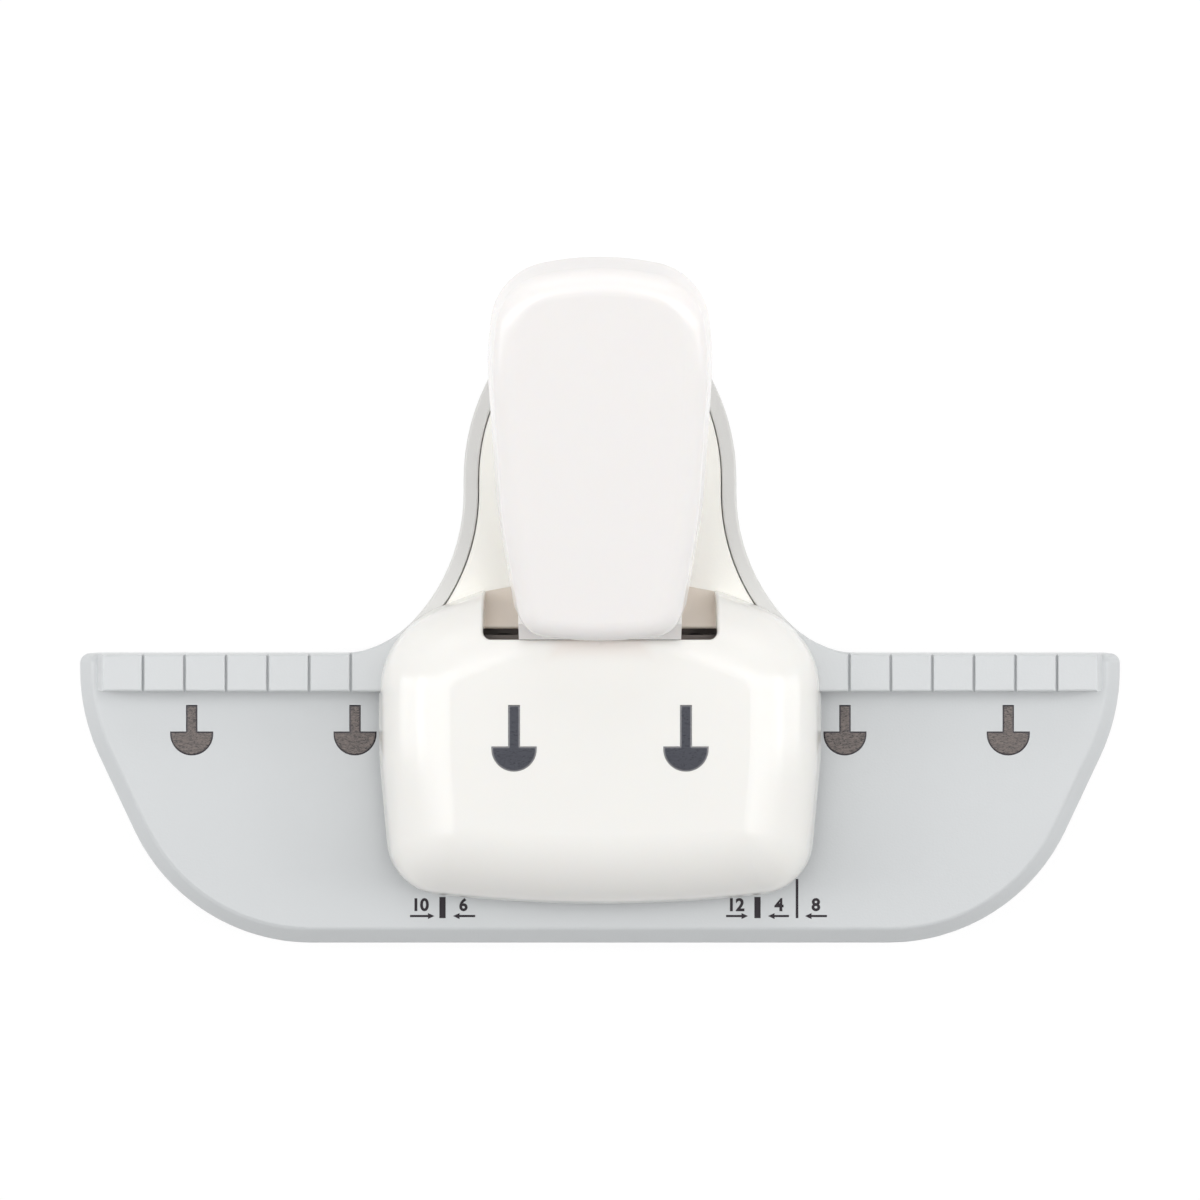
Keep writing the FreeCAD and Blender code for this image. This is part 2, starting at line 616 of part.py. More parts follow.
def dome_notch(outer):
    """Cut the slot for the handle's neck into the rear of the dome and round its upper edges."""
    half, front, corner = SIZE["notch_half"], SIZE["notch_front"], SIZE["notch_corner"]
    slot = rectangle(-half, half, front, SIZE["notch_back"], corner)
    pocket(outer, sketch(outer, "XY_Plane", slot, "dome_top"), "dome_top")

    def on_upper_edge(edge, at):
        on_wall = abs(at.y - front) < corner * 0.3 or near(abs(at.x), half)
        level = edge.BoundBox.XLength + edge.BoundBox.YLength > 0.05
        return on_wall and level and abs(at.x) < half + 0.01 and at.z > SIZE["dome_low"] + 0.1

    soften(outer, "Fillet", "Radius", "lip_round", on_upper_edge)


def dome_ramp(side):
    """A wedge beside the handle's neck, from a lip inside the notch down to the deck. Its foot
    runs a little back towards the middle."""
    ramp = body("left_ramp" if side < 0 else "right_ramp")
    seat = SIZE["stop_top"]
    ends = (("ramp_near", SIZE["ramp_foot_near"]), ("notch_half + ramp_root", SIZE["ramp_foot_far"]))
    profiles = []
    for place, foot in ends:
        wedge = outline([(SIZE["ramp_front"], seat, 0), (foot, seat, 0),
                         (SIZE["ramp_front"], SIZE["ramp_high"], 0)])
        profiles.append(sketch(ramp, "YZ_Plane", wedge, place if side > 0 else f"-({place})"))
    towards_left = profiles if side < 0 else profiles[::-1]
    loft(ramp, towards_left)
    soften(ramp, "Fillet", "Radius", "ramp_round",
           lambda edge, at: near(at.z, SIZE["ramp_high"]))
    return ramp


def dome_cover(screws):
    outer = dome_form("dome_outer", 0.0, "dome_low", "dome_top", "dome_round")
    soften(outer, "Fillet", "Radius", "lip_round", lambda edge, at: near(at.z, SIZE["dome_low"]))
    dome_notch(outer)
    inner = dome_form("dome_inner", SIZE["dome_wall"], "dome_low - 0.5",
                      "dome_top - dome_wall", "dome_round - dome_wall")
    near_wall, far_wall = "notch_half - 1", "notch_half + dome_wall"
    sides = {"left": (f"-({far_wall})", f"-({near_wall})"), "right": (near_wall, far_wall)}
    walls = [block(f"{name}_notch_wall", across, ("ramp_front", "notch_back"), ("0", "dome_top"))
             for name, across in sides.items()]
    hollow = cut("dome_hollow", outer, [cut("dome_space", inner, walls)])
    guide_top = GUIDE_LOW + " + guide_thick"
    posts = [rod(f"dome_post_{index}", (str(x), str(y), guide_top), "dome_post",
                 f"dome_top - dome_wall + 0.3 - ({guide_top})")
             for index, (x, y) in enumerate(DOME_POSTS)]
    whole = fuse("dome_whole", [hollow, dome_ramp(-1), dome_ramp(1)] + posts)
    seat = block("dome_seat", ("-half_width / 2", "half_width / 2"),
                 ("stop_front - 0.2", "notch_back"), ("0", "stop_top + seat_gap"))
    marks = [dome_foil(f"dome_mark_bore_{index}", x, "1") for index, x in enumerate(HOLES)]
    return cut("dome_cover", whole, [seat, screws] + marks)


def foil(name, centre, back, flat, low, thick):
    """One hot-stamped alignment mark in the shape of the punched hole."""
    print_body = body(name)
    curves = mushroom(centre, back, flat, SIZE["mark_stem"], SIZE["mark_head"])
    pad(print_body, sketch(print_body, "XY_Plane", curves, low), thick)
    return print_body


def dome_foil(name, x, thick):
    return foil(name, x, SIZE["dome_mark_back"], SIZE["dome_mark_flat"], "dome_top - mark_depth",
                thick)


def dome_marks():
    return group("dome_marks", [dome_foil(f"dome_mark_{index}", x, "mark_depth")
                                for index, x in enumerate(HOLES)])


def table_marks():
    return group("table_marks", [foil(f"table_mark_{index}", x, SIZE["table_mark_back"],
                                      SIZE["table_mark_flat"], "table_top - mark_depth",
                                      "mark_depth") for index, x in enumerate(TABLE_MARKS)])


# Steel C frame: lower frame, die plate, spacer and upper frame

PLATE_REACH = SIZE["window_half"] - SIZE["plate_gap"]
PLATE_BACK = SIZE["window_back"] - SIZE["plate_gap"]


def lower_frame(screws):
    plate = body("lower_frame_body")
    corners = mirrored([(31, -27, 3), (31, -6.2, 1.5), (23, 1, 1.5)])
    pad(plate, sketch(plate, "XY_Plane", outline(corners), UNDER_TABLE), "plate_thick",
        backwards=True)
    for x in HOLES:
        chute = mushroom(x, SIZE["stop_front"] + 0.8, SIZE["punch_flat"], SIZE["punch_stem"],
                         SIZE["punch_head"], SIZE["chute_spare"])
        pocket(plate, sketch(plate, "XY_Plane", chute, "table_top"), "table_top")
    return cut("lower_frame", plate, screws)


def die_plate():
    plate = body("die_plate")
    front, back = SIZE["window_front"] + SIZE["plate_gap"], SIZE["stop_front"] - 0.1
    pad(plate, sketch(plate, "XY_Plane", rectangle(-PLATE_REACH, PLATE_REACH, front, back),
                      UNDER_TABLE), "plate_thick")
    for x in HOLES:
        hole = mushroom(x, SIZE["stop_front"] + 0.5, SIZE["punch_flat"], SIZE["punch_stem"],
                        SIZE["punch_head"], SIZE["die_fit"])
        pocket(plate, sketch(plate, "XY_Plane", hole, "table_top"), "plate_thick + 1")
    return plate


def frame_spacer(screws):
    """The block behind the die that holds the frames apart and stops the paper between them."""
    spacer = body("spacer_body")
    pad(spacer, sketch(spacer, "XY_Plane",
                       rectangle(-PLATE_REACH, PLATE_REACH, SIZE["stop_front"], PLATE_BACK),
                       UNDER_TABLE), "paper_gap + table_thick")
    wells = circles(SPRING_SEATS, SIZE["spring_well"])
    pocket(spacer, sketch(spacer, "XY_Plane", wells, GUIDE_LOW), "table_top")
    for x in HOLES:
        slot = rectangle(x - SIZE["stem_slot"], x + SIZE["stem_slot"], SIZE["stop_front"] - 1,
                         SIZE["punch_back"] + 0.1)
        pocket(spacer, sketch(spacer, "XY_Plane", slot, GUIDE_LOW), "table_top")
    return cut("frame_spacer", spacer, [screws])


def upper_frame(screws):
    plate = body("upper_frame_body")
    shoulder = SIZE["stop_front"] - 0.4
    corners = mirrored([(0, -42.1, 200.0), (29.7, -39.6, 6.8), (31.3, -20, 60.0),
                        (31.2, shoulder, 0), (PLATE_REACH, shoulder, 0), (PLATE_REACH, PLATE_BACK, 1.0)])
    top = GUIDE_LOW + " + guide_thick"
    pad(plate, sketch(plate, "XY_Plane", outline(corners), GUIDE_LOW), "guide_thick")
    pocket(plate, sketch(plate, "XY_Plane", circles(SPRING_SEATS, SIZE["spring_well"]), top),
           "guide_thick")
    for x in HOLES:
        guide = mushroom(x, SIZE["punch_back"] + 0.1, SIZE["punch_flat"], SIZE["punch_stem"],
                         SIZE["punch_head"], SIZE["punch_fit"])
        pocket(plate, sketch(plate, "XY_Plane", guide, top), "guide_thick")
    ears = []
    inside, outside = "lever_half + ear_gap", "lever_half + ear_gap + ear_thick"
    for name, x in {"left": (f"-({outside})", f"-({inside})"), "right": (inside, outside)}.items():
        web = block(name + "_ear_web", x, ("pivot_back - ear_radius", "pivot_back + ear_radius"),
                    (top + " - 0.5", "pivot_up"))
        eye = rod(name + "_ear_eye", (x[0], "pivot_back", "pivot_up"), "ear_radius", "ear_thick", "x")
        ears += [web, eye]
    bore = rod("ear_bore", ("-shaft_half", "pivot_back", "pivot_up"), "shaft_radius",
               "2 * shaft_half", "x")
    return cut("upper_frame", fuse("upper_frame_whole", [plate] + ears), [bore] + screws)


# Lever, its shaft and clips, and the pin and roller that press the punch carrier

CLIP_LOWS = {"left": "-(clip_place + clip_thick)", "right": "clip_place"}


def shaft_clips():
    made = []
    for side, low in CLIP_LOWS.items():
        disc = rod(side + "_clip_disc", (low, "pivot_back", "pivot_up"), "clip_radius",
                   "clip_thick", "x")
        eye = rod(side + "_clip_eye", (low, "pivot_back", "pivot_up"), "shaft_neck", "clip_thick", "x")
        mouth = block(side + "_clip_mouth", (low, low + " + clip_thick"),
                      ("pivot_back - clip_mouth", "pivot_back + clip_mouth"),
                      ("pivot_up - clip_radius - 1", "pivot_up"))
        made.append(cut(side + "_clip", disc, [eye, mouth]))
    return group("shaft_clips", made)


def fulcrum_shaft():
    """The shaft with a groove near each end for its clip."""
    shaft = rod("shaft_blank", ("-shaft_half", "pivot_back", "pivot_up"), "shaft_radius",
                "2 * shaft_half", "x")
    rings = []
    for side, low in CLIP_LOWS.items():
        outer = rod(side + "_ring_outer", (low, "pivot_back", "pivot_up"), "shaft_radius + 1",
                    "clip_thick", "x")
        core = rod(side + "_ring_core", (low, "pivot_back", "pivot_up"), "shaft_neck",
                   "clip_thick", "x")
        rings.append(cut(side + "_ring", outer, [core]))
    return cut("fulcrum_shaft", shaft, rings)


def lever(screws):
    """A pressed steel channel: two cheeks from the shaft to the handle, joined by a web."""
    arm = body("lever_body")
    pivot_y, pivot_z = SIZE["pivot_back"], SIZE["pivot_up"]
    lift = 1 / math.cos(TILT)
    cheek_low, cheek_end, web_start = 1.7, 38.5, 5.5
    top = [(y, rim_height(y) + SIZE["web_high"] * lift) for y in (cheek_end, web_start)]
    low = [(y, rim_height(y) + cheek_low * lift) for y in (9.0, cheek_end)]
    end = SIZE["ear_radius"] - 0.1
    round_end = end * 0.99
    side = [(pivot_y - end, pivot_z - end, round_end), (pivot_y + 6, pivot_z - end, 3),
            (-23.6, 22.0, 3), (-17.8, 22.0, 4), (-12.0, 23.6, 4), (-4.0, 23.6, 3), (3.5, 26.8, 4),
            (*low[0], 4), (*low[1], 1.5), (*top[0], 1.5), (*top[1], 5), (-1.3, 27.5, 1.0),
            (-24, 27.5, 4), (-30, pivot_z + end, 4), (pivot_y - end, pivot_z + end, round_end)]
    pad(arm, sketch(arm, "YZ_Plane", outline(side)), "2 * lever_half", both_ways=True)
    web_drop = (SIZE["web_high"] - SIZE["lever_sheet"]) * lift
    far, near_bend = 45.0, 6.6
    inside = [(-far, 5, 0), (far, 5, 0), (far, rim_height(far) + web_drop, 0),
              (near_bend, rim_height(near_bend) + web_drop, 4), (-0.35, 26.0, 1.5),
              (-11.5, 26.0, 0), (-11.5, 40, 0), (-far, 40, 0)]
    pocket(arm, sketch(arm, "YZ_Plane", outline(inside)), "2 * (lever_half - lever_sheet)",
           both_ways=True)
    pin_z = SIZE["boss_high"] + SIZE["press_gap"] + SIZE["roller_radius"]
    eyes = [Part.Circle(V(pivot_y, pivot_z, 0), V(0, 0, 1), SIZE["shaft_radius"] + SIZE["shaft_fit"]),
            Part.Circle(V(pivot_y + SIZE["press_arm"], pin_z, 0), V(0, 0, 1), SIZE["pin_radius"])]
    pocket(arm, sketch(arm, "YZ_Plane", eyes), "2 * lever_half + 2", both_ways=True)
    return cut("lever", arm, [screws])


PIN_PLACE = ("pivot_back + press_arm", "boss_high + press_gap + roller_radius")


def drive_pin():
    pin = rod("pin_shank", ("-lever_half - pin_head_thick", *PIN_PLACE), "pin_radius",
              "2 * (lever_half + pin_head_thick)", "x")
    left = rod("pin_left_head", ("-lever_half - pin_head_thick", *PIN_PLACE), "pin_head",
               "pin_head_thick", "x")
    right = rod("pin_right_head", ("lever_half", *PIN_PLACE), "pin_head", "pin_head_thick", "x")
    return fuse("drive_pin", [pin, left, right])


def drive_roller():
    sleeve = rod("roller_blank", ("-roller_half", *PIN_PLACE), "roller_radius", "2 * roller_half", "x")
    bore = rod("roller_bore", ("-roller_half", *PIN_PLACE), "pin_radius + roller_fit",
               "2 * roller_half", "x")
    return cut("drive_roller", sleeve, [bore])


# Handle: the white paddle, its lower liner and the two screws through the lever

def handle_screws():
    """Countersunk screws square to the handle's rim, up through the liner into the paddle."""
    made = []
    low, thick = SIZE["liner_low"], SIZE["liner_thick"]
    for index, along in enumerate(HANDLE_POSTS):
        head = doc.addObject("Part::Cone", f"handle_head_{index}")
        bind(head, "Radius1", "sunk_head")
        bind(head, "Radius2", "screw_radius")
        bind(head, "Height", "liner_thick")
        head.Placement = on_rim(0, along, low)
        shank = doc.addObject("Part::Cylinder", f"handle_shank_{index}")
        bind(shank, "Radius", "screw_radius")
        bind(shank, "Height", "paddle_deep - handle_skin - liner_low - liner_thick")
        shank.Placement = on_rim(0, along, low + thick)
        made.append(fuse(f"handle_screw_{index}", [head, shank]))
    return group("handle_screws", made)


def handle_cover(screws):
    paddle = body("paddle_body")
    deep, wall = SIZE["paddle_deep"], SIZE["paddle_wall"]
    pad(paddle, sketch(paddle, "XY_Plane", outline(PADDLE), above_rim=0.0), "paddle_deep",
        taper="-paddle_taper")
    doc.recompute()
    to_rim = RIM_FRAME.inverse()
    soften(paddle, "Fillet", "Radius", "paddle_round",
           lambda edge, at: near(to_rim.multVec(at).z, deep))
    soften(paddle, "Fillet", "Radius", "rim_round", lambda edge, at: near(to_rim.multVec(at).z, 0))
    pocket(paddle, sketch(paddle, "XY_Plane", outline(PADDLE, wall), above_rim=0.0),
           "paddle_deep - paddle_wall", taper="-paddle_taper", upwards=True)
    posts = circles([(0, along) for along in HANDLE_POSTS], SIZE["handle_post"])
    overlap = 0.2
    pad(paddle, sketch(paddle, "XY_Plane", posts, above_rim=deep - wall + overlap),
        f"paddle_deep - paddle_wall - web_high + {overlap}", backwards=True)
    neck = [(-3.3, 26.8, 0.6), (2.6, 26.8, 2), (9.5, 34.0, 1), (9.5, 37.5, 0), (-1.0, 36.0, 0),
            (-3.3, 33.2, 0.6)]
    pad(paddle, sketch(paddle, "YZ_Plane", outline(neck)), "2 * neck_wide", both_ways=True)
    throat = [(-5, 20, 0), (12, 20, 0), (12, 39.5, 0), (7.0, 38.8, 0), (-1.5, 34.5, 0),
              (-1.5, 28.5, 0), (-5, 28.5, 0)]
    pocket(paddle, sketch(paddle, "YZ_Plane", outline(throat)), "2 * (neck_wide - neck_wall)",
           both_ways=True)
    return cut("handle_cover", paddle, [screws])


def handle_liner(screws):
    """The panel that closes the paddle from below, with two sleeves up to the lever's web."""
    liner = body("liner_body")
    low = SIZE["liner_low"]
    pad(liner, sketch(liner, "XY_Plane", outline(PADDLE, SIZE["paddle_wall"] + SIZE["liner_gap"]),
                      above_rim=low), "liner_thick")
    posts = circles([(0, along) for along in HANDLE_POSTS], SIZE["handle_post"])
    pad(liner, sketch(liner, "XY_Plane", posts, above_rim=low), "web_low - liner_low")
    throat_end = 13.0
    throat = rectangle(-2 * SIZE["neck_wide"], 2 * SIZE["neck_wide"], -5.0, throat_end)
    pocket(liner, sketch(liner, "XY_Plane", throat, above_rim=5.0), "8")
    return cut("handle_liner", liner, [screws])


# Punches and the carrier that lifts and drives them

def punch(name, x):
    """A mushroom-shaped cutter with a round shank, riveted over above the carrier."""
    cutter = body(name)
    section = mushroom(x, SIZE["punch_back"], SIZE["punch_flat"], SIZE["punch_stem"],
                       SIZE["punch_head"])
    place = [(x, SIZE["rivet_back"])]
    pad(cutter, sketch(cutter, "XY_Plane", section, "punch_rest"), "carrier_low - punch_rest")
    pad(cutter, sketch(cutter, "XY_Plane", circles(place, SIZE["rivet_radius"]), "carrier_low"),
        "carrier_thick")
    pad(cutter, sketch(cutter, "XY_Plane", circles(place, SIZE["rivet_head"]),
                       "carrier_low + carrier_thick"), "rivet_high")
    return cutter


def punch_carrier():
    """A thick U-shaped plate: the front bar holds the punches and the arms sit on the springs."""
    plate = body("punch_carrier")
    top = "carrier_low + carrier_thick"
    arms = [(-18.6, -22.6, 1.5), (18.6, -22.6, 1.5), (18.6, -2.8, 1.5), (10.6, -2.8, 1.0),
            (10.6, -13.0, 1.0), (-10.6, -13.0, 1.0), (-10.6, -2.8, 1.0), (-18.6, -2.8, 1.5)]
    pad(plate, sketch(plate, "XY_Plane", outline(arms), "carrier_low"), "carrier_thick")
    boss = rectangle(-6.5, 6.5, -19.6, -15.2, 0.8)
    pad(plate, sketch(plate, "XY_Plane", boss, top), f"boss_high - ({top})")
    rivets = circles([(x, SIZE["rivet_back"]) for x in HOLES], SIZE["rivet_radius"])
    pocket(plate, sketch(plate, "XY_Plane", rivets, top), "carrier_thick")
    return plate


# Return springs

def return_spring(name, x):
    """A coil spring: a round wire swept along quarter-turn arcs that climb at a steady pitch."""
    radius, wire, turns = SIZE["spring_radius"], SIZE["spring_wire"], int(SIZE["spring_turns"])
    low = SIZE["table_top"] - SIZE["table_thick"] + wire / 2
    climb = SIZE["carrier_low"] - wire / 2 - low

    def along(turn):
        angle = 2 * math.pi * turn
        return V(x + radius * math.cos(angle), SIZE["spring_back"] + radius * math.sin(angle),
                 low + climb * turn / turns)

    quarters = [Part.Arc(along(step / 4), along((step + 0.5) / 4), along((step + 1) / 4)).toShape()
                for step in range(4 * turns)]
    path = Part.Wire(quarters)
    heading = quarters[0].tangentAt(quarters[0].FirstParameter)
    section = Part.Wire(Part.Circle(along(0), heading, wire / 2).toShape())
    coil = Part.BRepOffsetAPI.MakePipeShell(path)
    coil.add(section)
    coil.build()
    coil.makeSolid()
    spring = doc.addObject("Part::Feature", name)
    spring.Shape = coil.shape()
    spring.Placement = FreeCAD.Placement()
    gap = climb / turns - wire
    print(f"{name}: gap between turns {gap:.2f} mm, volume {spring.Shape.Volume:.1f}, "
          f"wire times length {math.pi * wire ** 2 / 4 * path.Length:.1f}")
    return spring


# Assembly: every named piece

bottom_fixings = bottom_screws()
deck_fixings = deck_screws()
frame_fixings = frame_screws()
base_fixings = base_screws()
dome_fixings = dome_screws()
handle_fixings = handle_screws()
PIECES = [
    cut("base_shell", base_body(), [bottom_fixings, deck_fixings, base_fixings]),
    bottom_plate(bottom_fixings), bottom_fixings, rubber_feet(), chip_drawer(),
    deck_cover(deck_fixings), deck_fixings, dome_cover(dome_fixings), dome_fixings,
    dome_marks(), table_marks(), lower_frame([frame_fixings, base_fixings]), die_plate(),
    frame_spacer(frame_fixings), upper_frame([frame_fixings, dome_fixings]), frame_fixings,
    frame_nuts(frame_fixings), base_fixings, fulcrum_shaft(), shaft_clips(),
    lever(handle_fixings), drive_pin(), drive_roller(), handle_cover(handle_fixings),
    handle_liner(handle_fixings), handle_fixings, punch_carrier(),
    punch("left_punch", HOLES[0]), punch("right_punch", HOLES[1]),
    return_spring("left_spring", -SIZE["spring_place"]),
    return_spring("right_spring", SIZE["spring_place"]),
]
doc.recompute()

for item in doc.Objects:
    if {"Invalid", "Error"} & set(item.State):
        raise RuntimeError(f"{item.Name} did not build")
    if item.TypeId == "PartDesign::Body" and not item.Shape.isValid():
        raise RuntimeError(f"{item.Name} is not a sound solid")
for piece in PIECES:
    piece.Label = piece.Name
    if piece.Shape.isNull() or not piece.Shape.isValid() or not piece.Shape.Solids:
        raise RuntimeError(f"{piece.Name} has no valid solid")
os.makedirs("parts", exist_ok=True)
for piece in PIECES:
    piece.Shape.exportStep(f"parts/{piece.Name}.step")
    box = piece.Shape.BoundBox
    print(f"{piece.Name}: {len(piece.Shape.Solids)} solids, {piece.Shape.Volume:.0f} mm3, "
          f"x {box.XMin:.1f} {box.XMax:.1f} y {box.YMin:.1f} {box.YMax:.1f} "
          f"z {box.ZMin:.1f} {box.ZMax:.1f}")
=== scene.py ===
import bmesh
import bpy
import math
import numpy as np
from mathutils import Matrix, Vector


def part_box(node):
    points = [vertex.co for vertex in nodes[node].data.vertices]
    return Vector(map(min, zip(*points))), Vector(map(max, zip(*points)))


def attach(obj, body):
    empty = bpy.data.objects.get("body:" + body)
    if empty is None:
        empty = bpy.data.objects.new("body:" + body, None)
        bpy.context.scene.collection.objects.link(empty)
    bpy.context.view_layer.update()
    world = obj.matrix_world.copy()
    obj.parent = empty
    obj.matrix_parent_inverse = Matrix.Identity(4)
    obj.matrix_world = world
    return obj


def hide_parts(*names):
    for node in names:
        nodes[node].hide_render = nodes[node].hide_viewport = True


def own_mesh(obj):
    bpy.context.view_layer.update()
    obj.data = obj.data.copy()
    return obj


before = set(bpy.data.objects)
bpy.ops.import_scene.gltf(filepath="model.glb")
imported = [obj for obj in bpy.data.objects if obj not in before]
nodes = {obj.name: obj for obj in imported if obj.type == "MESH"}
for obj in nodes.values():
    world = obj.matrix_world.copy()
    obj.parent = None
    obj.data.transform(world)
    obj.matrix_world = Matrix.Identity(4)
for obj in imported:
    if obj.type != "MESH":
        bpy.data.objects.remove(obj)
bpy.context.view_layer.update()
MM = 0.001


# Base shell
# The grey ABS moulding: paper table with a bevelled edge, raised stop with fine grooves, hollow neck.
# Injection moulded in one piece with a fine satin texture, so it shines softly and never mirrors.

DRIFT_SCALE = 28.0
POLISH_SCALE = 160.0
ABS_IOR = 1.53


def node_in(tree, kind, **settings):
    """Add one shader node with its plain properties set."""
    made = tree.nodes.new(f"ShaderNode{kind}")
    for name, value in settings.items():
        setattr(made, name, value)
    return made


def preset(made, **values):
    """Set a node's input sockets by name, with an underscore for each space, and hand it back."""
    for name, value in values.items():
        made.inputs[name.replace("_", " ")].default_value = value
    return made


def worked(tree, operation, first, second, kind="Math"):
    """The sum, product or other result of two sockets, as a socket."""
    made = node_in(tree, kind, operation=operation)
    tree.links.new(first, made.inputs[0])
    tree.links.new(second, made.inputs[1])
    return made.outputs[0]


def noise_in(tree, place, detail, scale=1.0):
    """A noise texture at a place, as its node."""
    made = preset(node_in(tree, "TexNoise"), Detail=detail, Scale=scale)
    tree.links.new(place, made.inputs["Vector"])
    return made


def around_one(tree, value, amount):
    """A factor that swings round 1: one plus the amount times the value less a half."""
    centred = node_in(tree, "Math", operation="SUBTRACT")
    centred.inputs[1].default_value = 0.5
    tree.links.new(value, centred.inputs[0])
    swing = node_in(tree, "Math", operation="MULTIPLY_ADD")
    swing.inputs[2].default_value = 1.0
    tree.links.new(centred.outputs[0], swing.inputs[0])
    tree.links.new(amount, swing.inputs[1])
    return swing.outputs[0]


def new_group(name, takes, gives):
    """A shader group: its tree, what it is given, where its results go and the Object coordinates.

    Takes maps each input to its kind and value, and gives maps each output to its kind.
    """
    group = bpy.data.node_groups.new(name, "ShaderNodeTree")
    for label, (kind, value) in takes.items():
        made = group.interface.new_socket(label, in_out="INPUT", socket_type=f"NodeSocket{kind}")
        made.default_value = value
    for label, kind in gives.items():
        group.interface.new_socket(label, in_out="OUTPUT", socket_type=f"NodeSocket{kind}")
    given = group.nodes.new("NodeGroupInput").outputs
    result = group.nodes.new("NodeGroupOutput").inputs
    return group, given, result, node_in(group, "TexCoord").outputs["Object"]


SKIN_RESULTS = {"Colour": "Color", "Roughness": "Float", "Height": "Float"}


def moulded_skin():
    """Shader group for moulded plastic: a fine grain, slow drifts of shade and an uneven polish.

    Colour is the plain colour times 1 plus or minus Drift times a slow noise, Roughness the plain
    roughness times 1 plus or minus Uneven times a middling noise, Height a fine noise times Grain.
    """
    takes = {"Colour": ("Color", (0.8, 0.8, 0.8, 1.0)), "Drift": ("Float", 0.02),
             "Roughness": ("Float", 0.4), "Uneven": ("Float", 0.1),
             "Grain Scale": ("Float", 3000.0), "Grain": ("Float", 1.0)}
    group, given, result, place = new_group("moulded_skin", takes, SKIN_RESULTS)
    link = group.links.new

    drift = noise_in(group, place, detail=3.0, scale=DRIFT_SCALE)
    tinted = node_in(group, "VectorMath", operation="SCALE")
    link(given["Colour"], tinted.inputs[0])
    link(around_one(group, drift.outputs["Fac"], given["Drift"]), tinted.inputs["Scale"])
    link(tinted.outputs[0], result["Colour"])

    polish = noise_in(group, place, detail=4.0, scale=POLISH_SCALE)
    swing = around_one(group, polish.outputs["Fac"], given["Uneven"])
    link(worked(group, "MULTIPLY", swing, given["Roughness"]), result["Roughness"])

    grain = noise_in(group, place, detail=2.0)
    link(given["Grain Scale"], grain.inputs["Scale"])
    link(worked(group, "MULTIPLY", grain.outputs["Fac"], given["Grain"]), result["Height"])
    return group


MOULDED_SKIN = moulded_skin()


def skinned(name, group, depth, **values):
    """A Principled material whose colour, roughness and bump come from a shader group.

    The depth of its bump is in millimetres.
    """
    material = bpy.data.materials.new(name)
    material.use_nodes = True
    tree = material.node_tree
    shader = tree.nodes["Principled BSDF"]
    skin = preset(node_in(tree, "Group", node_tree=group), **values)
    bump = preset(node_in(tree, "Bump"), Distance=depth * MM)
    tree.links.new(skin.outputs["Colour"], shader.inputs["Base Color"])
    tree.links.new(skin.outputs["Roughness"], shader.inputs["Roughness"])
    tree.links.new(skin.outputs["Height"], bump.inputs["Height"])
    tree.links.new(bump.outputs["Normal"], shader.inputs["Normal"])
    return material, shader


def plastic(name, colour, roughness, grain_depth, drift=0.02, uneven=0.1, glow=0.0):
    """A moulded plastic with a little light passing under its skin."""
    material, shader = skinned(name, MOULDED_SKIN, grain_depth, Colour=(*colour, 1.0), Drift=drift,
                               Roughness=roughness, Uneven=uneven)
    preset(shader, IOR=ABS_IOR, Subsurface_Weight=glow, Subsurface_Scale=1.2 * MM,
           Subsurface_Radius=(1.0, 0.8, 0.6))
    return material


def box_mask():
    """Shader group that is 1 in a box of Object coordinates and falls smoothly to 0 round it.

    The gap along each axis is the distance from Centre less Half. The mask falls while the largest
    of the three gaps goes from 0 to Soft.
    """
    takes = {"Centre": ("Vector", (0.0, 0.0, 0.0)), "Half": ("Vector", (0.01, 0.01, 0.01)),
             "Soft": ("Float", 0.001)}
    group, given, result, place = new_group("box_mask", takes, {"Mask": "Float"})
    link = group.links.new

    distance = node_in(group, "VectorMath", operation="ABSOLUTE")
    link(worked(group, "SUBTRACT", place, given["Centre"], "VectorMath"), distance.inputs[0])
    gap = node_in(group, "SeparateXYZ")
    link(worked(group, "SUBTRACT", distance.outputs[0], given["Half"], "VectorMath"), gap.inputs[0])
    in_plan = worked(group, "MAXIMUM", gap.outputs["X"], gap.outputs["Y"])
    largest = worked(group, "MAXIMUM", in_plan, gap.outputs["Z"])
    fall = preset(node_in(group, "MapRange", interpolation_type="SMOOTHSTEP"), To_Min=1.0, To_Max=0.0)
    link(largest, fall.inputs["Value"])
    link(given["Soft"], fall.inputs["From Max"])
    link(fall.outputs[0], result["Mask"])
    return group


BOX_MASK = box_mask()


def recolour(material, mask, colour):
    """Mix a second colour into a material by a mask socket of its own tree."""
    tree = material.node_tree
    base = tree.nodes["Principled BSDF"].inputs["Base Color"]
    mix = node_in(tree, "Mix", data_type="RGBA")
    mix.inputs[7].default_value = (*colour, 1.0)
    tree.links.new(mask, mix.inputs["Factor"])
    tree.links.new(base.links[0].from_socket, mix.inputs[6])
    tree.links.new(mix.outputs[2], base)


def recolour_box(material, colour, low, high, soft):
    """Mix a second colour into a material inside a box between two corners, in millimetres."""
    low, high = np.array(low, float) * MM, np.array(high, float) * MM
    box = preset(node_in(material.node_tree, "Group", node_tree=BOX_MASK), Centre=(low + high) / 2,
                 Half=(high - low) / 2, Soft=soft * MM)
    recolour(material, box.outputs["Mask"], colour)


def dress(material, *names):
    """Give the CAD nodes one finish, in their own material slots."""
    for name in names:
        nodes[name].material_slots[0].material = material


NECK_GREY = (0.7, 0.697, 0.68)
NECK_BOX = ((-40, 1, 0), (40, 50, 18))
BASE_GREY = plastic("base_grey", (0.63, 0.648, 0.658), roughness=0.3, grain_depth=0.016)
recolour_box(BASE_GREY, NECK_GREY, *NECK_BOX, soft=6.0)
dress(BASE_GREY, "base_shell")


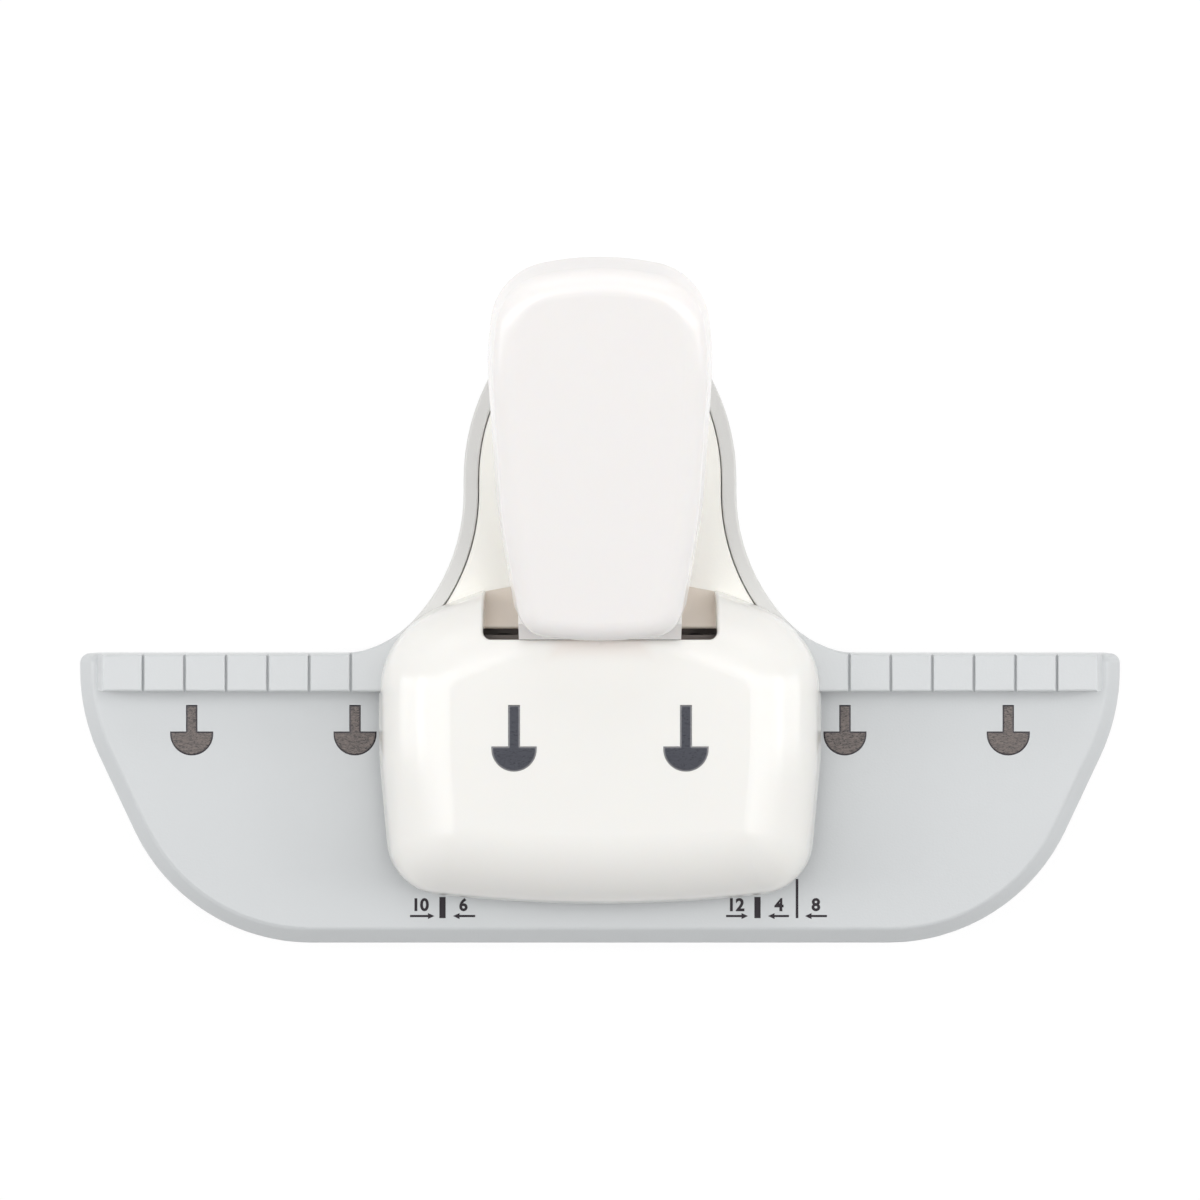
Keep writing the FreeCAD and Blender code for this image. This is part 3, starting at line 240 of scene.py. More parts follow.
# Size guides
# Two bars, a thin line, arrows and plain numbers on the table: where the edge of a sheet is laid.
# Pad printed in one dark ink, which stands a hundredth of a millimetre proud.

TABLE_TOP = 10.0
INK_THICK = 0.012
BAR_PLACES = (-24.11, 24.11)
BAR_WIDE = 0.96
BAR_SPAN = (-46.3, -43.05)
LINE_PLACE = 30.16
LINE_WIDE = 0.4
LINE_SPAN = (-46.3, -40.3)
ARROW_LEVEL = -45.98
ARROWS = [(-29.09, -25.34), (-19.1, -22.5), (19.29, 22.66), (28.93, 25.72), (34.75, 31.38)]
ARROW_SHAFT = 0.34
ARROW_HEAD_LONG = 1.0
ARROW_HEAD_WIDE = 0.92
NUMBERS = {"10": -27.3, "6": -20.9, "12": 21.0, "4": 27.4, "8": 33.05}
NUMBER_SPAN = (-45.25, -43.22)
NUMBER_BOLDER = 0.035


def new_piece(name, points, faces, material, body, slot, crisp=35.0):
    """A closed mesh from points in millimetres and faces, its doubles merged and its faces turned out.

    Edges that fold by more than the crisp angle, in degrees, stay sharp. It rides on a body and has
    the given material. The slot argument is not used.
    """
    mesh = bpy.data.meshes.new(name)
    mesh.from_pydata((points * MM).tolist(), [], faces)
    work = bmesh.new()
    work.from_mesh(mesh)
    bmesh.ops.remove_doubles(work, verts=work.verts, dist=0.0005 * MM)
    bmesh.ops.recalc_face_normals(work, faces=work.faces)
    work.to_mesh(mesh)
    work.free()
    mesh.shade_smooth()
    mesh.set_sharp_from_angle(angle=math.radians(crisp))
    mesh.materials.append(material)
    piece = bpy.data.objects.new(name, mesh)
    bpy.context.scene.collection.objects.link(piece)
    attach(piece, body)
    return piece


def joined(parts):
    """Several (points, faces) pairs as one pair."""
    starts = np.cumsum([0] + [len(points) for points, _ in parts[:-1]])
    faces = [[int(corner) + int(start) for corner in face] for start, (_, part_faces)
             in zip(starts, parts) for face in part_faces]
    return np.concatenate([points for points, _ in parts]), faces


def printed(outline):
    """A flat closed slab of ink on the table, on an outline of (x, y) corners."""
    flat = np.asarray(outline, float)
    count = len(flat)
    levels = (TABLE_TOP, TABLE_TOP + INK_THICK)
    points = np.concatenate([np.column_stack([flat, np.full(count, level)]) for level in levels])
    around = np.arange(count)
    after = np.roll(around, -1)
    sides = np.column_stack([around, after, after + count, around + count]).tolist()
    return points, sides + [around[::-1].tolist(), (around + count).tolist()]


def bar(centre, wide, span):
    """An upright bar of one width about its centre line, between the two ends of its span."""
    left, right = centre - wide / 2, centre + wide / 2
    near, far = span
    return printed([(left, near), (right, near), (right, far), (left, far)])


def arrow(tail, tip):
    """A slim arrow from tail to tip: a straight shaft with a long triangular head."""
    way = math.copysign(1.0, tip - tail)
    neck = tip - way * ARROW_HEAD_LONG
    thin, wide = ARROW_SHAFT / 2, ARROW_HEAD_WIDE / 2
    shape = [(tail, -thin), (neck, -thin), (neck, -wide), (tip, 0.0),
             (neck, wide), (neck, thin), (tail, thin)]
    return printed([(x, ARROW_LEVEL + y) for x, y in shape])


def number(text, centre):
    """A plain number as a flat mesh, scaled to the height of the number span."""
    drawn = bpy.data.curves.new("number", "FONT")
    drawn.body = text
    drawn.extrude = 0.5
    drawn.offset = NUMBER_BOLDER
    drawn.resolution_u = 4
    holder = bpy.data.objects.new("number", drawn)
    bpy.context.scene.collection.objects.link(holder)
    bpy.context.view_layer.update()
    mesh = bpy.data.meshes.new_from_object(holder.evaluated_get(bpy.context.evaluated_depsgraph_get()))
    points = np.empty(len(mesh.vertices) * 3)
    mesh.vertices.foreach_get("co", points)
    points = points.reshape(-1, 3)
    low, high = points.min(axis=0), points.max(axis=0)
    scale = (NUMBER_SPAN[1] - NUMBER_SPAN[0]) / (high[1] - low[1])
    points = (points - (low + high) / 2) * (scale, scale, INK_THICK / (high[2] - low[2]))
    points += (centre, sum(NUMBER_SPAN) / 2, TABLE_TOP + INK_THICK / 2)
    faces = [list(face.vertices) for face in mesh.polygons]
    bpy.data.objects.remove(holder)
    bpy.data.meshes.remove(mesh)
    return points, faces


GUIDE_INK = plastic("guide_ink", (0.022, 0.017, 0.022), roughness=0.5, grain_depth=0.004, drift=0.5,
                    uneven=0.3)
preset(GUIDE_INK.node_tree.nodes["Principled BSDF"], Specular_IOR_Level=0.2)
guides = [bar(place, BAR_WIDE, BAR_SPAN) for place in BAR_PLACES]
guides += [bar(LINE_PLACE, LINE_WIDE, LINE_SPAN)]
guides += [arrow(*ends) for ends in ARROWS]
guides += [number(text, centre) for text, centre in NUMBERS.items()]
new_piece("size_guides", *joined(guides), GUIDE_INK, "base", "table_foil")


# Alignment marks
# Six marks in the shape of the punched hole, four on the table and two on the dome above the punches.
# Hot stamped foil in a shallow recess with a sloping edge: brushed brown on the table, navy on the dome.

PITCH = 25.0
DOME_TOP = 30.0
# The stem's half width, the radius of the head's round front and the length of its straight sides.
MARK_STEM = 0.87
MARK_HEAD = 3.3
MARK_SIDE = 0.37
STEM_COLUMNS = 15
SIDE_COLUMNS = 21
SIDE_ROWS = (0.0, 0.12, 0.25)
BOWL_ROWS = 34
STEM_ROWS = 26
FOIL_THICK = 0.09
FOIL_SINK = 0.012
SLOPE_WIDE = 0.3
SLOPE_DROP = 0.06


def streaked_skin():
    """Shader group for drawn or brushed surfaces: fine streaks of a second colour along one way.

    The streak mask is a noise on Object coordinates times Stretch, raised to a smooth step. Colour
    goes from Colour to Streak Colour by mask times Contrast, Roughness swings with the mask by
    Uneven, and Height is the mask.
    """
    takes = {"Colour": ("Color", (0.1, 0.1, 0.1, 1.0)), "Streak Colour": ("Color", (0.3, 0.3, 0.3, 1.0)),
             "Stretch": ("Vector", (600.0, 4000.0, 4000.0)), "Wave": ("Float", 0.4),
             "Contrast": ("Float", 0.5), "Roughness": ("Float", 0.35), "Uneven": ("Float", 0.2)}
    group, given, result, place = new_group("streaked_skin", takes, SKIN_RESULTS)
    link = group.links.new

    stretched = worked(group, "MULTIPLY", place, given["Stretch"], "VectorMath")
    noise = noise_in(group, stretched, detail=4.0)
    preset(noise, Roughness=0.6)
    link(given["Wave"], noise.inputs["Distortion"])
    mask = preset(node_in(group, "MapRange", interpolation_type="SMOOTHSTEP"),
                  From_Min=0.38, From_Max=0.66)
    link(noise.outputs["Fac"], mask.inputs["Value"])
    streaks = mask.outputs[0]

    mix = node_in(group, "Mix", data_type="RGBA")
    link(worked(group, "MULTIPLY", streaks, given["Contrast"]), mix.inputs["Factor"])
    link(given["Colour"], mix.inputs[6])
    link(given["Streak Colour"], mix.inputs[7])
    link(mix.outputs[2], result["Colour"])
    swing = around_one(group, streaks, given["Uneven"])
    link(worked(group, "MULTIPLY", swing, given["Roughness"]), result["Roughness"])
    link(streaks, result["Height"])
    return group


STREAKED_SKIN = streaked_skin()


def foil(name, colour, streak, contrast, rim_colour, rim_reach, metallic):
    """Stamped foil: streaks in the middle and another colour near the outline, where the rim attribute is
    small.
    """
    material, shader = skinned(name, STREAKED_SKIN, 0.004, Colour=(*colour, 1.0),
                               Streak_Colour=(*streak, 1.0), Stretch=(1700.0, 4600.0, 1500.0),
                               Contrast=contrast, Wave=1.2, Roughness=0.32, Uneven=0.3)
    preset(shader, Metallic=metallic)
    tree = material.node_tree
    rim = node_in(tree, "Attribute", attribute_name="rim")
    edge = preset(node_in(tree, "MapRange", interpolation_type="SMOOTHSTEP"),
                  From_Min=rim_reach[0] * MM, From_Max=rim_reach[1] * MM, To_Min=1.0, To_Max=0.0)
    tree.links.new(rim.outputs["Fac"], edge.inputs["Value"])
    recolour(material, edge.outputs[0], rim_colour)
    return material


def quads(rows, columns, start=0, around=False):
    """Faces of a grid of rows by columns, closed round its columns if asked."""
    across = columns if around else columns - 1
    row, column = np.meshgrid(np.arange(rows - 1), np.arange(across), indexing="ij")
    after = (column + 1) % columns
    faces = np.stack([row * columns + column, row * columns + after, (row + 1) * columns + after,
                      (row + 1) * columns + column], axis=-1)
    return (faces.reshape(-1, 4) + start).tolist()


def rim_gap(x, y, back, flat):
    """How far inside a mark's outline a point lies.

    In the head it is the lesser of the gap to the half circle or the straight sides and the gap to
    the shoulders, in the stem the lesser of the gaps to its sides and its end.
    """
    across = np.abs(x)
    bowl = MARK_HEAD - np.hypot(x, np.minimum(y - (flat - MARK_SIDE), 0.0))
    shoulder = np.where(across > MARK_STEM, flat - y, np.hypot(across - MARK_STEM, flat - y))
    stem = np.minimum(MARK_STEM - across, back - y)
    return np.maximum(np.where(y <= flat, np.minimum(bowl, shoulder), stem), 0.0)


def plan_grid(half, shares, y):
    """Points in plan, one row for each y: x is the row's half width times each share."""
    half, y = np.broadcast_arrays(half, y)
    across = half[:, None] * shares[None]
    return np.column_stack([across.ravel(), np.repeat(y, len(shares))])


def mark(name, centre, back, flat, surface, material, slot):
    """One foil mark, from the back end of its stem past the flat of its head to the round front.

    Its half width is the stem's behind the flat, the head's along the straight sides and the head's
    times cos(a) on the half circle, where y falls by the head's radius times sin(a).
    """
    share = MARK_STEM / MARK_HEAD
    middle = np.linspace(-share, share, STEM_COLUMNS)
    side = np.linspace(share, 1.0, SIDE_COLUMNS + 1)[1:]
    across = np.concatenate([-side[::-1], middle, side])
    turn = np.linspace(0.0, math.pi / 2, BOWL_ROWS)
    y = np.concatenate([flat - np.array(SIDE_ROWS), flat - MARK_SIDE - MARK_HEAD * np.sin(turn)])
    half = np.concatenate([[MARK_HEAD] * len(SIDE_ROWS), MARK_HEAD * np.cos(turn)])
    head = plan_grid(half, across, y)
    stem = plan_grid(MARK_HEAD, middle, flat + (back - flat) * np.linspace(0.0, 1.0, STEM_ROWS))
    plan = np.concatenate([head, stem])
    up_slope = rim_gap(plan[:, 0], plan[:, 1], back, flat) / SLOPE_WIDE
    height = surface - FOIL_SINK - SLOPE_DROP * np.clip(1.0 - up_slope, 0.0, 1.0) ** 2
    points = np.column_stack([plan[:, 0] + centre, plan[:, 1], height])
    faces = quads(len(y), len(across)) + quads(STEM_ROWS, STEM_COLUMNS, len(head))
    piece = new_piece(name, points, faces, material, "base", slot, crisp=60.0)
    mesh = piece.data
    places = np.empty(len(mesh.vertices) * 3)
    mesh.vertices.foreach_get("co", places)
    x, y = places.reshape(-1, 3).T[:2] / MM
    attribute = mesh.attributes.new("rim", "FLOAT", "POINT")
    attribute.data.foreach_set("value", rim_gap(x - centre, y, back, flat) * MM)
    below = piece.modifiers.new("thickness", "SOLIDIFY")
    below.thickness = (FOIL_THICK - FOIL_SINK) * MM
    below.offset = -1.0
    if mesh.polygons[0].normal.z < 0:
        mesh.flip_normals()
    return piece


def mark_row(node, steps, back, flat, surface, material, slot):
    """One row of marks at steps of the hole pitch, in place of the plain marks of that node."""
    for index, step in enumerate(steps):
        name = f"{node.rstrip('s')}_{index + 1}"
        made = mark(name, step * PITCH, back, flat, surface, material, slot)
        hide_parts(node)


# The table marks turn darker towards their outline.
TABLE_FOIL = foil("table_foil", (0.045, 0.04, 0.04), streak=(0.175, 0.145, 0.13), contrast=0.75,
                  rim_colour=(0.028, 0.024, 0.03), rim_reach=(0.12, 0.34), metallic=0.55)
# Painted highlight: the dome marks' lighter rim along the sloping edge of their recess.
DOME_FOIL = foil("dome_foil", (0.022, 0.024, 0.035), streak=(0.03, 0.033, 0.048), contrast=0.5,
                 rim_colour=(0.2, 0.2, 0.21), rim_reach=(0.1, 0.3), metallic=0.2)
mark_row("table_marks", (-2.5, -1.5, 1.5, 2.5), back=-13.67, flat=-17.73, surface=TABLE_TOP,
         material=TABLE_FOIL, slot="table_foil")
mark_row("dome_marks", (-0.5, 0.5), back=-12.87, flat=-18.9, surface=DOME_TOP,
         material=DOME_FOIL, slot="dome_foil")


# Cutting frame
# Lower frame, die plate, spacer and upper frame: two pressed steel plates with a black oxide finish
# round a ground die and a cast block. Machine screws and hexagon nuts clamp them together.

def metal(name, colour, streak, stretch, roughness, metallic=1.0):
    """A metal with fine streaks of a second shade, drawn out along the way it was worked."""
    material, shader = skinned(name, STREAKED_SKIN, 0.002, Colour=(*colour, 1.0),
                               Streak_Colour=(*streak, 1.0), Stretch=stretch, Contrast=0.5,
                               Wave=0.1, Roughness=roughness, Uneven=0.25)
    preset(shader, Metallic=metallic)
    return material


FRAME_STEEL = metal("frame_steel", (0.14, 0.122, 0.112), streak=(0.2, 0.176, 0.162),
                    stretch=(300.0, 900.0, 900.0), roughness=0.44, metallic=0.75)
TOOL_STEEL = metal("tool_steel", (0.4, 0.4, 0.41), streak=(0.56, 0.56, 0.57),
                   stretch=(250.0, 6000.0, 6000.0), roughness=0.27)
SPACER_ALLOY, alloy = skinned("spacer_alloy", MOULDED_SKIN, 0.03, Colour=(0.62, 0.63, 0.64, 1.0),
                              Drift=0.12, Roughness=0.5, Uneven=0.2, Grain_Scale=1400.0)
preset(alloy, Metallic=1.0)
SCREW_ZINC = metal("screw_zinc", (0.56, 0.57, 0.59), streak=(0.74, 0.75, 0.77),
                   stretch=(900.0, 900.0, 5000.0), roughness=0.26)
dress(FRAME_STEEL, "lower_frame", "upper_frame")
dress(TOOL_STEEL, "die_plate")
dress(SPACER_ALLOY, "frame_spacer")
dress(SCREW_ZINC, "frame_nuts")

UP, DOWN = (0.0, 0.0, 1.0), (0.0, 0.0, -1.0)
GUIDE_TOP = 14.4
FRAME_LOW = 6.8
FRAME_SCREW = {"head": (2.7, 1.3), "shank": 1.5, "reach": 7.7}
BASE_SCREW = {"head": (2.3, 1.5), "shank": 1.4, "reach": 7.0, "pan": True}
THREAD_PITCH = 0.85
THREAD_ROOT = 0.8
ROWS_PER_TURN = 6
# The half width and reach of the recess's arms in a head of this radius, and its share of the depth.
RECESS_HEAD = 2.4
RECESS_ARM = 0.29
RECESS_REACH = 1.16
RECESS_DEPTH = 0.7


def turned(radii, heights, place, axis, angles):
    """Rings about an axis, as one grid closed round its columns.

    The point of ring i at angle a is place + axis * heights[i] + radii[i, a] * (side * cos a +
    front * sin a), where side and front are square to the axis.
    """
    axis = np.asarray(axis, float)
    side = np.array([1.0, 0.0, 0.0])
    front = np.cross(axis, side)
    spokes = np.cos(angles)[:, None] * side + np.sin(angles)[:, None] * front
    points = (np.asarray(place, float) + heights[:, None, None] * axis
              + radii[:, :, None] * spokes[None])
    return points.reshape(-1, 3), quads(len(heights), len(angles), around=True)


def cross_angles():
    """Angles round a cross recess, with one at each of its corners: the arm's end corner lies at
    atan(arm / reach) from the arm's middle and the inner corner at 45 degrees."""
    corner = math.atan2(RECESS_ARM, RECESS_REACH)
    quarter = np.array([0.0, corner / 2, corner, (corner + math.pi / 4) / 2, math.pi / 4])
    half = np.concatenate([quarter, math.pi / 2 - quarter[-2:0:-1]])
    return np.concatenate([half + turn * math.pi / 2 for turn in range(4)])


def screw(place, axis, head, shank, reach, pan=False):
    """A cross-head screw from its head's outer face along its axis.

    The recess outline at angle a is the lesser of the arm's reach over |cos a| and its half width
    over |sin a|, with a folded to the nearest arm. The thread's radius is the shank's times a
    triangle wave of height over pitch less a turn of the angle.
    """
    radius, high = head
    angles = cross_angles()
    folded = (angles + math.pi / 4) % (math.pi / 2) - math.pi / 4
    scale = radius / RECESS_HEAD
    recess = np.minimum(RECESS_REACH * scale / np.abs(np.cos(folded)),
                        RECESS_ARM * scale / np.maximum(np.abs(np.sin(folded)), 1e-6))
    full = np.ones(len(angles))
    depth = RECESS_DEPTH * high

    # From the floor of the recess to its rounded mouth, round the head's edge and down to the thread.
    rings = [(0 * full, depth), (0.55 * recess, depth), (0.8 * recess, depth * 0.93),
             (recess, 0.06), (recess * 1.06 + 0.02, 0.0)]
    if pan:
        rings += [(0.8 * radius * full, 0.0), (0.93 * radius * full, 0.12 * high),
                  (radius * full, 0.4 * high), (radius * full, high)]
    else:
        rings += [(0.97 * radius * full, 0.0), (radius * full, 0.05)]
    rings += [(shank * THREAD_ROOT * full, high)]
    along = high + reach * np.linspace(0.03, 0.88, int(reach / THREAD_PITCH * ROWS_PER_TURN))
    wave = np.abs((along[:, None] / THREAD_PITCH - angles[None] / (2 * math.pi)) % 1.0 - 0.5) * 2
    thread = shank * (THREAD_ROOT + (1 - THREAD_ROOT) * wave ** 1.5)
    tip = [(shank * THREAD_ROOT * full, high + reach * 0.93), (0 * full, high + reach)]
    radii = np.concatenate([[ring for ring, _ in rings], thread, [ring for ring, _ in tip]])
    heights = np.concatenate([[level for _, level in rings], along, [level for _, level in tip]])
    return turned(radii, heights, place, axis, angles)


def screw_set(name, places, axis, kind, body="base"):
    """All screws of one set as one piece, in place of the plain ones of the same name."""
    screws = [screw(place, axis, **kind) for place in places]
    made = new_piece(name.rstrip("s") + "_set", *joined(screws), SCREW_ZINC, body, "screw_zinc",
                     crisp=28.0)
    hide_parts(name)


def both_sides(places, height):
    """Places (x, y) at one height, on the left side and then on the right."""
    return [(side * x, y, height) for side in (-1, 1) for x, y in places]


screw_set("frame_screws", both_sides([(22, -6.4), (7, -6.4)], GUIDE_TOP), DOWN, FRAME_SCREW)
screw_set("base_screws", both_sides([(28, -9.2)], FRAME_LOW - BASE_SCREW["head"][1]), UP, BASE_SCREW)


# Punches, carrier and springs
# Two ground mushroom cutters riveted into a black steel carrier plate, and the two coil springs that
# lift it. The springs are wound from round wire, with a closed turn at each end.

SPRING_PLACE = (14.5, -6.3)
SPRING_RADIUS = 2.8
SPRING_WIRE = 0.8
SPRING_TURNS = 7.0
CLOSED_TURNS = 1.0
CLOSED_PITCH = 0.84
BLEND_TURNS = 0.6
STEPS_PER_TURN = 30
WIRE_SIDES = 12


def coil(centre, low, high):
    """A wire tube along a helix of constant radius, from the low seat to the high one.

    The climb per turn is the closed pitch in the end turns and an even pitch between, joined by
    smooth steps. Each section is a circle square to the path, spanned by the spoke and by the cross
    product of heading and spoke, and shrinks to a point at both ends.
    """
    turn = np.linspace(0.0, SPRING_TURNS, int(SPRING_TURNS * STEPS_PER_TURN) + 1)
    from_end = np.minimum(turn, SPRING_TURNS - turn) - CLOSED_TURNS
    blend = np.clip(from_end / BLEND_TURNS + 0.5, 0.0, 1.0)
    open_share = blend * blend * (3 - 2 * blend)
    open_turns = (open_share[1:] + open_share[:-1]) / 2 * turn[1]
    closed_turns = SPRING_TURNS - open_turns.sum()
    open_pitch = (high - low - SPRING_WIRE - CLOSED_PITCH * closed_turns) / open_turns.sum()
    climb = CLOSED_PITCH * (turn[1] - open_turns) + open_pitch * open_turns
    rise = np.concatenate([[0.0], np.cumsum(climb)])
    angle = 2 * math.pi * turn
    spoke = np.column_stack([np.cos(angle), np.sin(angle), np.zeros(len(turn))])
    path = spoke * SPRING_RADIUS + (*centre, 0.0)
    path[:, 2] = low + SPRING_WIRE / 2 + rise
    heading = np.gradient(path, axis=0)
    heading /= np.linalg.norm(heading, axis=1)[:, None]
    upward = np.cross(heading, spoke)
    girth = np.full(len(turn), SPRING_WIRE / 2)
    girth[[0, -1]] = 0.0
    girth[[1, -2]] *= 0.8
    around = np.arange(WIRE_SIDES) * 2 * math.pi / WIRE_SIDES
    ring = np.cos(around)[None, :, None] * spoke[:, None] + np.sin(around)[None, :, None] * upward[:, None]
    points = path[:, None] + girth[:, None, None] * ring
    return points.reshape(-1, 3), quads(len(turn), WIRE_SIDES, around=True)


SPRING_STEEL = metal("spring_steel", (0.42, 0.42, 0.44), streak=(0.6, 0.6, 0.62),
                     stretch=(2500.0, 2500.0, 900.0), roughness=0.24)
dress(TOOL_STEEL, "left_punch", "right_punch")
dress(FRAME_STEEL, "punch_carrier")
for side, name in ((-1, "left_spring"), (1, "right_spring")):
    low, high = (corner[2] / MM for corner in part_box(name))
    centre = (side * SPRING_PLACE[0], SPRING_PLACE[1])
    spring = new_piece(name + "_coil", *coil(centre, low, high), SPRING_STEEL, "base", "spring_steel",
                       crisp=60.0)
    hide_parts(name)
    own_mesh(spring)


# Lever and its pins
# A pressed steel channel with a black oxide finish on a ground shaft with two clips. A pin through
# its cheeks carries the roller that presses the carrier.

dress(FRAME_STEEL, "lever")
dress(TOOL_STEEL, "fulcrum_shaft", "drive_pin", "drive_roller")
dress(SPRING_STEEL, "shaft_clips")


# Dome
# The polished white cover over the mechanism, moulded in a mirror-polished tool. Painted shade makes
# its two ramps darker and beige, for the recess under the handle, and a faint pink painted shadow lies
# on its rear under the front of the paddle. Four screws through the upper frame hold it from below.

# Painted shade: the ramps in the recess under the handle are darker and beige, as if lit by warm bounced
# light.
RAMP_PAINTED_SHADE = (0.75, 0.665, 0.58)
RAMP_SHADE_BOX = ((-17, -2, 16), (17, 8, 24.1))
# Painted shadow: a faint pink shade on the dome's rear under the front of the paddle, with warm reflected
# light.
PADDLE_PAINTED_SHADOW = (0.855, 0.805, 0.765)
PADDLE_SHADOW_BOX = ((-5, -3.7, 28), (5, -3, 31))
DOME_SCREW = {"head": (2.4, 1.4), "shank": 1.25, "reach": 7.0}
DOME_SCREW_LOW = 12.4
DOME_WHITE = plastic("dome_white", (0.892, 0.88, 0.848), roughness=0.19, grain_depth=0.003,
                     drift=0.012, uneven=0.15, glow=0.12)
recolour_box(DOME_WHITE, RAMP_PAINTED_SHADE, *RAMP_SHADE_BOX, soft=0.3)
recolour_box(DOME_WHITE, PADDLE_PAINTED_SHADOW, *PADDLE_SHADOW_BOX, soft=3.4)
dress(DOME_WHITE, "dome_cover")
screw_set("dome_screws", both_sides([(22, -28), (22, -13.2)], DOME_SCREW_LOW), UP, DOME_SCREW)


# Deck
# The warm white satin panel inside the rim of the neck, in front of and below the handle.
# Screwed on from below, so no fastener shows on top.

DECK_SCREW = {"head": (2.3, 1.5), "shank": 1.25, "reach": 7.4, "pan": True}
DECK_SCREW_LOW = 6.9
DECK_WHITE = plastic("deck_white", (0.99, 0.975, 0.915), roughness=0.36, grain_depth=0.012, glow=0.1)
dress(DECK_WHITE, "deck_cover")
screw_set("deck_screws", both_sides([(15.2, 20), (10.5, 31)], DECK_SCREW_LOW), UP, DECK_SCREW)


# Handle
# The paddle and the liner under it: white ABS with a satin gloss and a faint pink warmth.
# Two screws, square to the paddle's rim, clamp them round the web of the steel lever.

TILT = math.radians(15.5)
RIM_START = np.array([0.0, -2.6, 30.4])
ALONG_RIM = np.array([0.0, math.cos(TILT), math.sin(TILT)])
OFF_RIM = np.array([0.0, -math.sin(TILT), math.cos(TILT)])
LINER_LOW = 0.1
HANDLE_SCREWS_ALONG = (15.0, 33.0)
HANDLE_SCREW = {"head": (2.4, 1.4), "shank": 1.25, "reach": 6.5}
HANDLE_WHITE = plastic("handle_white", (0.95, 0.92, 0.905), roughness=0.2, grain_depth=0.006,
                       drift=0.012, uneven=0.12, glow=0.12)
dress(HANDLE_WHITE, "handle_cover", "handle_liner")
heads = [RIM_START + ALONG_RIM * along + OFF_RIM * LINER_LOW for along in HANDLE_SCREWS_ALONG]
screw_set("handle_screws", heads, OFF_RIM, HANDLE_SCREW, body="lever_arm")


# Underside
# A textured grey panel on eight screws closes the base. Six rubber feet with a shallow ring stand
# under it, and the smooth tray for the chips slides out of the front edge.

BOTTOM_SCREW = {"head": (2.4, 1.2), "shank": 1.25, "reach": 5.0}
BOTTOM_SCREW_LOW = 1.2
BOTTOM_SCREW_PLACES = [(66, -18), (44, -42), (13, 14), (9, 35)]
FOOT_PLACES = [(54, -13), (31, -43), (9, 26)]
FOOT_PROFILE = [(0.0, 0.22), (2.6, 0.22), (2.9, 0.12), (3.1, 0.0), (3.9, 0.0), (4.3, 0.05),
                (4.55, 0.25), (4.75, 0.6), (4.98, 1.12), (4.9, 1.19), (0.0, 1.19)]
FOOT_SIDES = 64
UNDER_GREY = plastic("under_grey", (0.42, 0.44, 0.45), roughness=0.55, grain_depth=0.03)
DRAWER_GREY = plastic("drawer_grey", (0.36, 0.38, 0.4), roughness=0.4, grain_depth=0.01)
FOOT_RUBBER = plastic("foot_rubber", (0.035, 0.035, 0.036), roughness=0.72, grain_depth=0.02, drift=0.15)
dress(UNDER_GREY, "bottom_plate")
dress(DRAWER_GREY, "chip_drawer")
screw_set("bottom_screws", both_sides(BOTTOM_SCREW_PLACES, BOTTOM_SCREW_LOW), UP, BOTTOM_SCREW)


def foot(place):
    """A rubber foot turned from its profile of (radius, height) points, hollow in the middle of its
    underside."""
    profile = np.array(FOOT_PROFILE)
    angles = np.arange(FOOT_SIDES) * 2 * math.pi / FOOT_SIDES
    radii = np.repeat(profile[:, :1], FOOT_SIDES, axis=1)
    return turned(radii, profile[:, 1], place, UP, angles)


feet = [foot(place) for place in both_sides(FOOT_PLACES, 0.0)]
made = new_piece("rubber_foot_set", *joined(feet), FOOT_RUBBER, "base", "foot_rubber", crisp=50.0)
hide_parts("rubber_feet")


# Floor, light and camera
# A white floor, a plain white surround that is brighter at the rear, soft lights above, behind and at
# both sides, and a camera straight above the table.

FLOOR_HALF = 2.0
FLOOR_GLOW = 1.04
GLOW_SHARE = 0.88
floor_mesh = bpy.data.meshes.new("floor")
floor_mesh.from_pydata([(-FLOOR_HALF, -FLOOR_HALF, 0), (FLOOR_HALF, -FLOOR_HALF, 0),
                        (FLOOR_HALF, FLOOR_HALF, 0), (-FLOOR_HALF, FLOOR_HALF, 0)], [], [(0, 1, 2, 3)])
floor = bpy.data.objects.new("floor", floor_mesh)
bpy.context.scene.collection.objects.link(floor)


def background_seen(tree):
    """1 for rays that see the background straight, in a reflection or through glass, and else 0."""
    path = node_in(tree, "LightPath").outputs
    straight = worked(tree, "MAXIMUM", path["Is Camera Ray"], path["Is Glossy Ray"])
    return worked(tree, "MAXIMUM", straight, path["Is Transmission Ray"])


# The floor's own white makes up most of what is seen of it, and the rest shows the shadow.
floor_paint = bpy.data.materials.new("floor_white")
floor_paint.use_nodes = True
tree = floor_paint.node_tree
paint = preset(tree.nodes["Principled BSDF"], Base_Color=(0.9, 0.9, 0.9, 1), Roughness=0.9,
               Specular_IOR_Level=0.0)
glow = preset(node_in(tree, "Emission"), Strength=FLOOR_GLOW)
seen = node_in(tree, "Math", operation="MULTIPLY")
seen.inputs[1].default_value = GLOW_SHARE
mix = node_in(tree, "MixShader")
tree.links.new(background_seen(tree), seen.inputs[0])
tree.links.new(seen.outputs[0], mix.inputs["Fac"])
tree.links.new(paint.outputs[0], mix.inputs[1])
tree.links.new(glow.outputs[0], mix.inputs[2])
tree.links.new(mix.outputs[0], tree.nodes["Material Output"].inputs["Surface"])
floor_mesh.materials.append(floor_paint)

